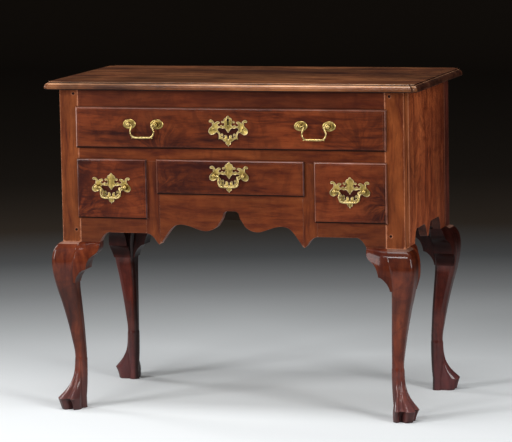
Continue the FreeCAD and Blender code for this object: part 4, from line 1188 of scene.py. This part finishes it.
@dataclass
class CaseBoards:
    """Top, rails, dividers, skirts and side boards, each with its edges rubbed."""

    workshop: Workshop
    body: str = "case"
    seam: Easing = Easing(0.00035, 1, 0.02, 0.00012)
    moulding: Easing = Easing(0.0009, 3, 0.014, 0.0004)
    seed_start: float = 0.4
    seed_step: float = 1.7
    shut_margin: float = 0.001
    crest_depth: float = 0.0015
    crest_slope: float = 0.70
    flat_slope: float = 0.96
    end_slope: float = 0.35
    wall_slope: float = 0.25
    cut_slope: float = 0.5
    shade_depth: float = 0.0150
    quirk_depth: float = 0.0032

    def build(self) -> None:
        """Make every board."""
        boards = {"top_rail": SHADED_TOP_RAIL, "middle_rail": RAIL, "left_divider": DIVIDER,
                  "right_divider": DIVIDER, "left_skirt": SKIRT, "right_skirt": SKIRT,
                  "centre_skirt": SKIRT, "left_side_panel": SIDE, "right_side_panel": SIDE,
                  "top_board": TOP}
        for order, (name, finish) in enumerate(boards.items()):
            mesh = copied(name)
            finishes = [finish]
            easing = self.moulding if finish is TOP else self.seam
            easing.apply(mesh, self.seed_start + self.seed_step * order)
            mesh.normal_update()
            if finish is TOP:
                finishes += [TOP_EDGE, TOP_HIGHLIT_CREST, TOP_SHADED_QUIRK, TOP_END]
                self.mark_moulding(mesh)
            elif finish is SIDE:
                finishes.append(SIDE_EDGE)
                self.mark_cut_edges(mesh)
            piece(mesh, self.workshop.materials(*finishes), self.body,
                  Slot.TOP if finish is TOP else Slot.CASE, name)
        # The back board is painted dark inside the case: painted shade.
        rear_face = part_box("back_panel")[1].y - self.shut_margin
        self.workshop.dress(replace(PINE_BACK, inside_shade_edge=rear_face), "back_panel")
        self.workshop.dress(PEG, "joint_pegs")
        self.workshop.dress(POPLAR, "outer_runners", "inner_runners", "drawer_guides",
                            "drawer_kickers", "top_glue_blocks")

    def mark_cut_edges(self, mesh: Mesh) -> None:
        """Leave the sawn edges of a side board dark.

        Args:
            mesh: the side board.
        """
        for face in mesh.faces:
            if abs(face.normal.x) < self.cut_slope:
                face.material_index = CUT_EDGE_INDEX

    def mark_moulding(self, mesh: Mesh) -> None:
        """Give the top's moulded edge its own finishes: round, crests painted pale as wear and
        painted highlight, quirk and lower edge painted dark as painted shade, and end.

        Args:
            mesh: the top board.
        """
        top = max(vert.co.z for vert in mesh.verts)
        cut(mesh, (0, 0, top - self.shade_depth), (0, 0, 1))
        mesh.normal_update()
        for face in mesh.faces:
            slope = face.normal.z
            depth = top - face.calc_center_median().z
            if abs(slope) > self.flat_slope and not self.crest_depth < depth < self.shade_depth:
                face.material_index = TopFace.FLAT
            elif face.normal.x > self.end_slope:
                face.material_index = TopFace.END
            elif (depth > self.shade_depth or slope < -self.wall_slope
                  or (abs(slope) < self.wall_slope and depth < self.quirk_depth)):
                face.material_index = TopFace.SHADED_QUIRK
            elif slope > self.crest_slope or depth < self.crest_depth:
                face.material_index = TopFace.HIGHLIT_CREST
            else:
                face.material_index = TopFace.EDGE


# ---------------------------------------------------------------- the legs

@dataclass
class CabrioleLegs:
    """Post, cabriole leg and three-toed foot at each corner, with their knee blocks."""

    workshop: Workshop
    body: str = "case"
    half_width: float = 0.394
    half_depth: float = 0.2075
    post_width: float = 0.043
    post_arris: float = 0.002
    post_overlap: float = 0.0004
    post_corner: Easing = Easing(0.0014, 3, 0.015, 0.0005)
    corner_reach: float = 0.001
    side_slope: float = 0.85
    ledge_height: float = 0.3816
    ledge_depth: float = 0.004
    ledge_slope: float = 0.35
    ankle_height: float = 0.112
    ankle_rise: float = 0.0035
    ankle_inset: float = 0.026
    ankle_half_width: float = 0.0129
    knee_half_width: float = 0.0288
    knee_reach: float = 0.0285
    stocking_radius: float = 0.0139
    toe_height: float = 0.026
    toe_reach: float = 0.057
    toe_heading: float = math.radians(225.0)
    side_toe_reach: float = 0.0411
    web_radius: float = 0.0455
    pad_web_radius: float = 0.032
    pad_share: float = 0.80
    heel_radius: float = 0.0105
    web_reach: float = math.radians(48.0)
    side_toe: float = math.radians(45.0)
    half_toe: float = math.radians(15.5)
    foot_sweep: float = 2.8
    arris_share: float = 0.985
    flare_sweep: float = 2.6
    instep_sweep: float = 1.35
    tongue_rise: float = 0.0013
    tongue_start: float = 12.0
    tongue_sweep: float = 0.35
    tongue_share: float = 0.86
    tongue_blur: float = 0.02
    groove_share: float = 1.12
    groove_blur: float = 0.07
    groove_depth: float = 0.5
    points: int = 216
    leg_rings: int = 110
    instep_rings: int = 46
    pad_levels: tuple[float, ...] = (0.0, 0.03, 0.1, 0.25, 0.4, 0.52, 0.62, 0.70, 0.77, 0.83,
                                     0.88, 0.92, 0.955)
    brow: Point = (0.985, 0.992, 0.995)
    profile: tuple[tuple[float, float, float, float], ...] = (
        (0.0, 0.0, 0.0, 0.88),
        (0.06, 0.02, 0.01, 0.85),
        (0.15, 0.13, 0.085, 0.77),
        (0.30, 0.34, 0.23, 0.66),
        (0.47, 0.64, 0.42, 0.55),
        (0.62, 0.94, 0.64, 0.47),
        (0.74, 1.06, 0.835, 0.40),
        (0.84, 1.00, 1.00, 0.33),
        (0.92, 0.79, 1.07, 0.28),
        (0.965, 0.57, 0.98, 0.25),
        (0.99, 0.39, 0.75, 0.20),
    )

    def build(self) -> None:
        """Make the four legs and dress the knee blocks."""
        front = (LEG, STILE, KNEE_WORN_HIGHLIT_LEDGE, STILE_SIDE)
        rear = (SHADED_REAR_LEG, SHADED_REAR_STILE, KNEE_WORN_HIGHLIT_LEDGE, SHADED_REAR_STILE)
        for end, name, finishes, block_finish in ((-1, "front", front, KNEE_BLOCK),
                                                  (1, "rear", rear, SHADED_REAR_KNEE_BLOCK)):
            for side, hand in ((-1, "_left"), (1, "_right")):
                node = name + hand + "_leg"
                skin = self.cabriole(side, end)
                piece(join([skin, self.post(node, side, end)]),
                      self.workshop.materials(*finishes), self.body, Slot.LEG, node)
                self.workshop.dress(block_finish, name + hand + "_knee_blocks")

    def cabriole(self, side: int, end: int) -> Mesh:
        """Leg and foot as one skin, with the knee's upper edge under the case marked for its pale
        finish of wear and painted highlight.

        Args:
            side: 1 for the right, -1 for the left.
            end: 1 for the rear, -1 for the front.

        Returns:
            The leg's mesh, in its corner.
        """
        mesh = self.skin()
        settle(mesh, (-side, -end, 1.0), (side * self.half_width, end * self.half_depth, 0.0))
        mesh.normal_update()
        for face in mesh.faces:
            if (face.normal.z > self.ledge_slope
                    and face.calc_center_median().z > self.ledge_height - self.ledge_depth):
                face.material_index = LegFace.WORN_HIGHLIT_LEDGE
        return mesh

    def post(self, node: str, side: int, end: int) -> Mesh:
        """The square post above the ledge, with its outer corner rubbed.

        Args:
            node: the leg's CAD node.
            side: 1 for the right, -1 for the left.
            end: 1 for the rear, -1 for the front.

        Returns:
            The post.
        """
        mesh = copied(node)
        cut(mesh, (0.0, 0.0, self.ledge_height - self.post_overlap), (0.0, 0.0, -1.0), drop=True)
        close_holes(mesh)
        corner = Vector((side * self.half_width, end * self.half_depth))

        def outer(edge: Edge) -> bool:
            """Whether an edge is the post's outer corner."""
            return all((vert.co.xy - corner).length < self.corner_reach for vert in edge.verts)

        seed = 5.0 + side + 0.3 * end
        self.post_corner.apply(mesh, seed, outer)
        for face in mesh.faces:
            aside = abs(face.normal.x) > self.side_slope
            face.material_index = LegFace.POST_SIDE if aside else LegFace.POST
        return mesh

    def skin(self) -> Mesh:
        """Leg and foot with their corner at the origin and the case towards +X and +Y.

        Returns:
            The leg's mesh.
        """
        skin = RingSkin(self.points)
        turns = full_turn(self.points)
        centre = Vector((self.ankle_inset, self.ankle_inset, 0.0))
        for level in self.foot_levels():
            skin.add([centre + self.foot_point(turn, *level) for turn in turns])
        stations = self.stations()
        start = self.ankle_height + self.ankle_rise
        for index in range(self.leg_rings + 1):
            share = index / self.leg_rings
            height = start + share * (self.ledge_height - self.ankle_height - self.ankle_rise)
            inset, half, rounding = smooth_through(stations, height)
            middle = Vector((inset, inset, height))
            skin.add([middle + self.rounded_square(turn, half, rounding) for turn in turns])
        return skin.close()

    def foot_levels(self) -> list[tuple[float, float, float, float]]:
        """Levels of the foot from the floor up.

        Returns:
            Height, spread, web radius and how far the tongues stand out, for each ring.
        """
        levels = []
        for share in self.pad_levels:
            ease = self.arris_share if share == 0.0 else 1.0
            spread = ease * (self.pad_share + share * (1.0 - self.pad_share))
            flare = share ** self.flare_sweep
            web = self.pad_web_radius + flare * (self.web_radius - self.pad_web_radius)
            levels.append((share * self.toe_height, spread, web, 0.0))
        up, spread, web_share = self.brow
        levels.append((up * self.toe_height, spread, self.web_radius * web_share, 0.0))
        for index in range(self.instep_rings + 1):
            up = (index / self.instep_rings) ** self.instep_sweep
            height = self.toe_height + up * (self.ankle_height - self.toe_height)
            ease = self.arris_share if index == 0 else 1.0
            spread = ease * (1.0 - up) ** self.foot_sweep
            rise = (self.tongue_rise * min(1.0, self.tongue_start * up)
                    * (1.0 - up) ** self.tongue_sweep)
            levels.append((height, spread, self.web_radius, rise))
        return levels

    def foot_point(self, turn: float, height: float, spread: float, web: float,
                   rise: float) -> Vector:
        """Point on the foot's skin.

        Args:
            turn: direction from the ankle's middle, from 0 to a full turn.
            height: height above the floor.
            spread: 1 at the toes' edge and 0 at the ankle.
            web: radius of the web between the toes.
            rise: how far the tongues stand out.

        Returns:
            The point, about the ankle's middle.
        """
        angle = (turn - self.toe_heading + math.pi) % (2 * math.pi) - math.pi
        heel = self.heel_radius

        def base(at: float) -> float:
            """Radius of the web and the heel, without toes."""
            return heel + (web - heel) * math.exp(-((at / self.web_reach) ** 4))

        def toe(reach: float, heading: float, off: float) -> float:
            """How far a toe stands out of the web at an angle off its middle."""
            return (reach - base(heading)) * math.exp(-((off / self.half_toe) ** 6))

        aside = abs(angle) - self.side_toe
        toes = toe(self.toe_reach, 0.0, angle) + toe(self.side_toe_reach, self.side_toe, aside)
        radius = self.stocking_radius + spread * (base(angle) + toes - self.stocking_radius)
        nearest = min(abs(angle), abs(aside))
        tongue_edge = (nearest - self.tongue_share * self.half_toe) / self.tongue_blur
        groove_edge = (nearest - self.groove_share * self.half_toe) / self.groove_blur
        radius += rise * (1.0 / (1.0 + math.exp(tongue_edge))
                          - self.groove_depth * math.exp(-(groove_edge ** 2)))
        return Vector((radius * math.cos(turn), radius * math.sin(turn), height))

    def stations(self) -> list[tuple[float, float, float, float]]:
        """Sections up the leg, from the ankle to the ledge.

        Returns:
            Height, inset, half width and corner radius of each.
        """
        rise = self.ledge_height - self.ankle_height
        rows = []
        for up, reach, widen, rounding in self.profile:
            half = self.ankle_half_width + widen * (self.knee_half_width - self.ankle_half_width)
            inset = self.ankle_inset - reach * self.knee_reach * math.sqrt(0.5)
            rows.append((self.ankle_height + up * rise, inset, half, rounding * half))
        rows.append((self.ledge_height, self.post_width / 2, self.post_width / 2,
                     self.post_arris))
        return rows

    def rounded_square(self, turn: float, half: float, rounding: float) -> Vector:
        """Point on a square with round corners.

        Args:
            turn: direction from its middle.
            half: half its width.
            rounding: radius of its corners.

        Returns:
            The point about its middle.
        """
        across, along = abs(math.cos(turn)), abs(math.sin(turn))
        flat = half - rounding
        if along * half <= flat * across:
            radius = half / across
        elif across * half <= flat * along:
            radius = half / along
        else:
            toward = flat * (across + along)
            radius = toward + math.sqrt(max(0.0, toward ** 2 - 2 * flat ** 2 + rounding ** 2))
        return Vector((radius * math.cos(turn), radius * math.sin(turn), 0.0))


# ---------------------------------------------------------------- the drawers

@dataclass
class Drawer:
    """One drawer: a figured front whose lip is painted pale for wear and a painted highlight, and
    its plain lining.
    """

    workshop: Workshop
    name: str
    finish: WoodFinish
    seed: float
    chipped: tuple[tuple[bool, bool], ...] = ()
    highlit_left: bool = False
    shaded_side_right: bool = False
    easing: Easing = Easing(0.0007, 2, 0.008, 0.0005)
    field_rise: float = 0.0012
    lip_depth: float = 0.0056
    under_slope: float = 0.25
    face_slope: float = 0.93
    side_slope: float = 0.1
    chip_back: float = 0.004
    chip_depth: float = 0.0016
    chip_reach: float = 0.007

    def build(self) -> None:
        """Make the front and dress the lining."""
        front = self.name + "_front"
        mesh = copied(front)
        self.easing.apply(mesh, self.seed)
        self.chip(mesh)
        self.mark_lip(mesh)
        wood = self.finish.name
        # The lip's pale, glossy finish: wear and a painted highlight along the round.
        lip = self.finish.toned(wood + "_lip", (0.07, 0.018, 0.010), (0.165, 0.054, 0.030),
                                (0.25, 0.100, 0.064), figures=(), gloss=1.0, gloss_roughness=0.28)
        # Paler lip on left-facing sides where chosen: a painted highlight.
        bright = lip.toned(wood + "_highlit_lip", (0.24, 0.11, 0.08), (0.44, 0.235, 0.18),
                           (0.62, 0.36, 0.29))
        # Darker lip on right-facing sides where chosen: painted shade.
        shaded_side = lip.toned(wood + "_shaded_side_lip", (0.02, 0.0050, 0.0035), (0.050, 0.0165, 0.013),
                         (0.10, 0.040, 0.033), gloss=0.4)
        piece(mesh, self.workshop.materials(self.finish, lip, SHADED_UNDERSIDE_LIP, bright, shaded_side),
              self.name, Slot.DRAWER, front)
        self.workshop.dress(POPLAR, self.name + "_sides")
        self.workshop.dress(POPLAR_ACROSS, self.name + "_bottom", self.name + "_back")

    def mark_lip(self, mesh: Mesh) -> None:
        """Give the lip its pale finish of wear and painted highlight, painted shade on its
        underside, and the chosen painted highlight on its left and painted shade on its right.
        """
        mesh.normal_update()
        face_y = min(vert.co.y for vert in mesh.verts)
        for face in mesh.faces:
            behind = face.calc_center_median().y - face_y
            across, away, up = face.normal
            if up < -self.under_slope and behind < 2 * self.lip_depth:
                face.material_index = FrontFace.SHADED_UNDERSIDE_LIP
            elif self.field_rise < behind < self.lip_depth and abs(away) < self.face_slope:
                if self.highlit_left and across < -self.side_slope:
                    face.material_index = FrontFace.HIGHLIT_LIP
                elif self.shaded_side_right and across > self.side_slope:
                    face.material_index = FrontFace.SHADED_SIDE_LIP
                else:
                    face.material_index = FrontFace.LIP

    def chip(self, mesh: Mesh) -> None:
        """Knock small chips off the lip's corners.

        Args:
            mesh: the front.
        """
        low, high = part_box(self.name + "_front")
        for right, upper in self.chipped:
            corner = Vector((high.x if right else low.x, low.y + self.chip_back,
                             high.z if upper else low.z))
            inward = Vector((-1.0 if right else 1.0, 0.0, -1.0 if upper else 1.0)).normalized()
            for vert in mesh.verts:
                near = 1.0 - (vert.co - corner).length / self.chip_reach
                if near > 0.0:
                    vert.co += inward * self.chip_depth * near


# ---------------------------------------------------------------- the brasses

ROSETTE_BAIL = {"end": 0.0262, "drop": 0.029, "neck": 0.0222, "belly": 0.0277, "spurs": True}
PLATE_BAIL = {"end": 0.0277, "drop": 0.024, "neck": 0.0202, "belly": 0.0237, "spurs": False}


@dataclass
class Bail:
    """A swan-neck bail, thin at its pins and full in the middle of its grip."""

    workshop: Workshop
    name: str
    end: float
    drop: float
    neck: float
    belly: float
    spurs: bool
    tuck: float = 0.22
    pin_radius: float = 0.0016
    pin_length: float = 0.0104
    spur_height: float = 0.93
    spur_lean: float = 0.55
    spur_profile: tuple[tuple[float, float], ...] = (
        (0.0, 0.9), (1.2, 1.2), (2.0, 1.6), (2.6, 1.35), (3.1, 0.95), (3.6, 1.25), (4.2, 1.3),
        (4.7, 1.0), (5.0, 0.4),
    )
    points: int = 20
    rings: int = 96

    def build(self) -> None:
        """Make the bail about its own pins."""
        pivot = self.pivot()
        parts = [self.rod(pivot)]
        if self.spurs:
            parts += [self.spur(pivot, side) for side in (-1, 1)]
        piece(join(parts), self.workshop.materials(BAIL_BRASS), self.name, Slot.BRASS, self.name,
              weighted=False)

    def pivot(self) -> Vector:
        """Middle of the line through the pins."""
        return next(Vector(joint["pos_m"]) for joint in frame["joints"]
                    if joint["child"] == self.name)

    def corner(self) -> float:
        """How far the lower corners stand from the middle."""
        return self.belly - self.tuck * self.drop

    def knots(self) -> list[tuple[float, float, float, float]]:
        """Knots of the rod, down the right arm to the grip's middle.

        Returns:
            Run, distance out, height and radius of each.
        """
        corner = self.corner()
        pin = self.pin_radius
        return [
            (0.0, self.end + self.pin_length, 0.0, pin),
            (1.0, self.end + 0.0022, 0.0, pin),
            (1.4, self.end - 0.0012, -0.0004, pin),
            (1.8, self.neck + 0.0008, -0.10 * self.drop, 0.0018),
            (2.3, self.neck + 0.35 * (self.belly - self.neck), -0.26 * self.drop, 0.0020),
            (2.9, self.belly - 0.0006, -0.52 * self.drop, 0.0019),
            (3.5, self.belly - 0.0016, -0.74 * self.drop, 0.0017),
            (4.0, corner + 0.0012, -0.92 * self.drop, 0.0019),
            (4.5, corner - 0.0042, -self.drop, 0.0021),
            (5.0, 0.45 * corner, -1.005 * self.drop, 0.0024),
            (5.5, 0.0, -1.01 * self.drop, 0.0026),
        ]

    def ring(self, centre: Vector, side: Vector, radius: float) -> list[Vector]:
        """Points of a round in the plane of a direction and Y."""
        return [centre + radius * (math.cos(turn) * side + math.sin(turn) * BACKWARD)
                for turn in full_turn(self.points)]

    def rod(self, pivot: Vector) -> Mesh:
        """The bent rod from pin to pin.

        Args:
            pivot: middle of the line through the pins.

        Returns:
            Its mesh.
        """
        knots = self.knots()
        last = knots[-1][0]
        skin = RingSkin(self.points)
        spine = []
        for index in range(2 * self.rings + 1):
            run = index / self.rings * last
            out, height, radius = smooth_through(knots, min(run, 2 * last - run))
            spine.append((Vector((out if run <= last else -out, 0.0, height)), radius))
        for index, (centre, radius) in enumerate(spine):
            ahead = spine[min(index + 1, len(spine) - 1)][0] - spine[max(index - 1, 0)][0]
            skin.add(self.ring(pivot + centre, ahead.normalized().cross(BACKWARD), radius))
        return skin.close()

    def spur(self, pivot: Vector, side: int) -> Mesh:
        """Small turned knob at a lower corner.

        Args:
            pivot: middle of the line through the pins.
            side: 1 for the right, -1 for the left.

        Returns:
            Its mesh.
        """
        root = pivot + Vector((side * self.corner(), 0.0, -self.spur_height * self.drop))
        along = Vector((side * self.spur_lean, 0.0, -1.0)).normalized()
        skin = RingSkin(self.points)
        for reach, radius in self.spur_profile:
            skin.add(self.ring(root + MILLIMETRE * reach * along, along.cross(BACKWARD),
                               MILLIMETRE * radius))
        return skin.close()


@dataclass
class Brasses:
    """Pierced plates, rosettes, posts, bails and the lock."""

    workshop: Workshop
    rim_width: float = 0.0010
    rim_fall: float = 0.0006
    face_slope: float = 0.99
    face_depth: float = 1e-5
    slots: tuple[tuple[float, float, float, float], ...] = (
        (-0.0017, 0.0017, 0.0165, 0.0215), (0.0082, 0.0115, 0.0178, 0.0262),
        (-0.0115, -0.0082, 0.0178, 0.0262),
    )
    post_offset: float = 0.032
    rosette_size: Point = (0.015, 0.0022, 0.011)
    rosette_steps: int = 64
    rosette_merge: float = 1e-4
    rosette_profile: tuple[tuple[float, float], ...] = (
        (0.0, 1.0), (0.40, 1.0), (0.50, 0.86), (0.56, 0.60), (0.62, 0.52), (0.70, 0.62),
        (0.80, 0.86), (0.88, 0.80), (0.95, 0.45), (1.0, 0.18), (1.0, 0.0),
    )

    def build(self) -> None:
        """Make and dress every brass."""
        self.plate("keyhole_escutcheon", "top_drawer")
        for drawer in SMALL_DRAWERS:
            self.plate(drawer + "_pull_plate", drawer)
        self.rosettes()
        posts = [drawer + "_pull_posts" for drawer in SMALL_DRAWERS]
        self.workshop.dress(ROSETTE_BRASS, "top_pull_posts", *posts, "escutcheon_nails")
        for name in TOP_BAILS:
            Bail(self.workshop, name, **ROSETTE_BAIL).build()
        for drawer in SMALL_DRAWERS:
            Bail(self.workshop, drawer + "_bail", **PLATE_BAIL).build()
        self.workshop.dress(LOCK_BRASS, "lock_case")
        self.workshop.dress(IRON, "lock_bolt")

    def plate(self, name: str, body: str) -> None:
        """Pierced plate with a filed rim round every edge of its face.

        Args:
            name: the CAD node.
            body: the drawer it is nailed to.
        """
        mesh = copied(name, whole=False)
        low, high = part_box(name)
        self.pierce(mesh, (low.x + high.x) / 2, low.z)
        face = [item for item in mesh.faces if item.normal.y < -self.face_slope
                and abs(item.calc_center_median().y - low.y) < self.face_depth]
        rim = {vert for item in face for vert in item.verts
               if any(other not in face for other in vert.link_faces)}
        filed = bmesh.ops.inset_region(mesh, faces=face, thickness=self.rim_width, depth=0.0,
                                       use_even_offset=False, use_boundary=True)["faces"]
        for vert in rim:
            vert.co.y += self.rim_fall
        for item in filed:
            item.material_index = PLATE_RIM_INDEX
        piece(mesh, self.workshop.materials(BRASS, BRASS_RIM), body, Slot.BRASS, name,
              weighted=False)

    def pierce(self, mesh: Mesh, middle: float, bottom: float) -> None:
        """Deepen the valleys of the plate's lower border into narrow slots.

        Args:
            mesh: the plate.
            middle: X of the plate's middle.
            bottom: Z of its lowest point.
        """
        for left, right, foot, head in self.slots:
            left, right = middle + left, middle + right
            foot, head = bottom + foot, bottom + head
            for place, normal in (((left, 0, 0), (1, 0, 0)), ((right, 0, 0), (1, 0, 0)),
                                  ((0, 0, foot), (0, 0, 1))):
                cut(mesh, place, normal)
            spots = {face: face.calc_center_median() for face in mesh.faces}
            inside = [face for face, spot in spots.items()
                      if left < spot.x < right and foot < spot.z < head]
            bmesh.ops.delete(mesh, geom=inside, context="FACES")
            self.wall(mesh)
        mesh.normal_update()

    def wall(self, mesh: Mesh) -> None:
        """Close the cut between the plate's face and its back.

        Args:
            mesh: the plate, open along the cut.
        """
        rims = open_edges(mesh)
        twins = {}
        for edge in rims:
            for vert in edge.verts:
                twins.setdefault((round(vert.co.x, 6), round(vert.co.z, 6)), set()).add(vert)
        pairs = {}
        for found in twins.values():
            if len(found) == 2:
                front, back = sorted(found, key=lambda vert: vert.co.y)
                pairs[front] = back
        for edge in rims:
            first, second = edge.verts
            if first in pairs and second in pairs:
                mesh.faces.new((first, second, pairs[second], pairs[first]))
        close_holes(mesh)
        bmesh.ops.recalc_face_normals(mesh, faces=mesh.faces)

    def rosettes(self) -> None:
        """Four oval rosettes, turned and then stretched sideways."""
        low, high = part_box("top_rosettes")
        parts = []
        for x in self.spacing():
            mesh = bmesh.new()
            verts, edges = drawn_line(mesh, [(share, -height, 0.0)
                                             for share, height in self.rosette_profile])
            bmesh.ops.spin(mesh, geom=verts + edges, cent=(0, 0, 0), axis=(0, 1, 0),
                           angle=2 * math.pi, steps=self.rosette_steps, use_merge=True)
            bmesh.ops.remove_doubles(mesh, verts=mesh.verts, dist=self.rosette_merge)
            close_holes(mesh)
            settle(mesh, self.rosette_size, (x, high.y, (low.z + high.z) / 2))
            parts.append(mesh)
        piece(join(parts), self.workshop.materials(ROSETTE_BRASS), "top_drawer", Slot.BRASS,
              "top_rosettes", weighted=False)

    def spacing(self) -> list[float]:
        """X of each rosette's middle, from left to right."""
        bails = [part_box(name) for name in TOP_BAILS]
        return [(left.x + right.x) / 2 + end * self.post_offset
                for left, right in bails for end in (-1, 1)]


# ---------------------------------------------------------------- the studio

@dataclass(frozen=True)
class Lamp:
    """A soft box."""

    name: str
    place: Point
    aim: Point
    width: float
    height: float
    power: float

    def build(self) -> None:
        """Hang the lamp and turn it to its aim."""
        lamp = bpy.data.lights.new(self.name, "AREA")
        lamp.shape = "RECTANGLE"
        lamp.size = self.width
        lamp.size_y = self.height
        lamp.energy = self.power
        obj = standing(self.name, lamp)
        obj.location = self.place
        away = Vector(self.place) - Vector(self.aim)
        obj.rotation_euler = away.to_track_quat("Z", "Y").to_euler()


@dataclass
class Studio:
    """Floor, backdrop, lamps and camera."""

    floor_reach: float = 14.0
    cove_start: float = 8.4
    cove_radius: float = 1.6
    cove_steps: int = 16
    wall_height: float = 6.0
    lamps: tuple[Lamp, ...] = (
        Lamp("left_lamp", (-2.7, -2.9, 1.55), (0.0, 0.0, 0.5), 1.1, 2.2, 120.0),
        Lamp("front_lamp", (-0.95, -3.2, 3.0), (0.0, 0.0, 0.7), 0.9, 0.45, 30.0),
        Lamp("right_lamp", (3.2, -2.2, 1.6), (0.1, 0.0, 0.5), 1.0, 2.1, 96.0),
        Lamp("side_lamp", (-3.1, 0.9, 1.7), (0.0, 0.0, 0.4), 0.8, 1.6, 42.0),
        Lamp("top_lamp", (0.0, -0.6, 3.2), (0.0, 0.0, 0.6), 1.9, 0.9, 46.0),
    )
    camera_place: Point = (2.0639, -6.8097, 1.3497)
    yaw: float = 0.295064
    dip: float = 0.131629
    roll: float = -0.018222
    lens: float = 223.03
    sensor: float = 36.0
    sight: float = 100.0
    world_light: float = 0.17

    def build(self) -> None:
        """Make everything around the lowboy."""
        self.backdrop()
        for lamp in self.lamps:
            lamp.build()
        self.world()
        self.camera()

    def backdrop(self) -> None:
        """Sweep the floor up into a wall behind the lowboy."""
        mesh = bmesh.new()
        profile = [(-self.floor_reach, 0.0), (self.cove_start, 0.0)]
        for step in range(1, self.cove_steps + 1):
            angle = step / self.cove_steps * math.pi / 2
            profile.append((self.cove_start + self.cove_radius * math.sin(angle),
                            self.cove_radius * (1 - math.cos(angle))))
        profile.append((self.cove_start + self.cove_radius, self.wall_height))
        edges = drawn_line(mesh, [(-self.floor_reach, y, z) for y, z in profile])[1]
        grown = bmesh.ops.extrude_edge_only(mesh, edges=edges)["geom"]
        bmesh.ops.translate(mesh, vec=(2 * self.floor_reach, 0, 0),
                            verts=[item for item in grown if isinstance(item, bmesh.types.BMVert)])
        bmesh.ops.recalc_face_normals(mesh, faces=mesh.faces)
        obj = smoothed("backdrop", mesh, StudioFinish().material())
        obj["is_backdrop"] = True

    def world(self) -> None:
        """Even white light all round."""
        world = bpy.data.worlds.new("studio")
        bpy.context.scene.world = world
        world.use_nodes = True
        back = world.node_tree.nodes["Background"]
        back.inputs["Color"].default_value = (1.0, 1.0, 1.0, 1.0)
        back.inputs["Strength"].default_value = self.world_light

    def camera(self) -> None:
        """Long-lens camera, right of the middle and above the top."""
        data = bpy.data.cameras.new("camera")
        data.sensor_width = self.sensor
        data.sensor_fit = "HORIZONTAL"
        data.lens = self.lens
        data.clip_end = self.sight
        ahead = Vector((-math.sin(self.yaw) * math.cos(self.dip),
                        math.cos(self.yaw) * math.cos(self.dip), -math.sin(self.dip)))
        level = Vector((math.cos(self.yaw), math.sin(self.yaw), 0.0))
        above = level.cross(ahead)
        right = math.cos(self.roll) * level + math.sin(self.roll) * above
        up = math.cos(self.roll) * above - math.sin(self.roll) * level
        turn = Matrix((right, up, -ahead)).transposed().to_4x4()
        obj = standing("camera", data)
        obj.matrix_world = Matrix.Translation(self.camera_place) @ turn
        bpy.context.scene.camera = obj
        bpy.context.scene.view_settings.view_transform = "Standard"


def save_sizes() -> None:
    """Work out the CAD model's box and the visual model's box."""
    boxes = [[[float(part) for part in corner] for corner in box]
             for box in (CAD_BOX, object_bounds())]


def main() -> None:
    """Build, dress and light the lowboy, and say what was made."""
    logging.basicConfig(level=logging.INFO, format="%(name)s: %(message)s")
    workshop = Workshop()
    CaseBoards(workshop).build()
    CabrioleLegs(workshop).build()
    drawers = (
        Drawer(workshop, "top_drawer", TOP_FRONT, 3.1, chipped=((True, False),),
               highlit_left=True),
        Drawer(workshop, "left_drawer", LEFT_FRONT, 7.7, chipped=((False, False), (True, True)),
               shaded_side_right=True),
        Drawer(workshop, "middle_drawer", MIDDLE_FRONT, 11.9, shaded_side_right=True),
        Drawer(workshop, "right_drawer", RIGHT_FRONT, 15.3, chipped=((True, True), (False, False))),
    )
    for drawer in drawers:
        drawer.build()
    Brasses(workshop).build()
    Studio().build()
    LOG.info("the studio and its camera are in place")


if __name__ == "__main__":
    main()
    save_sizes()
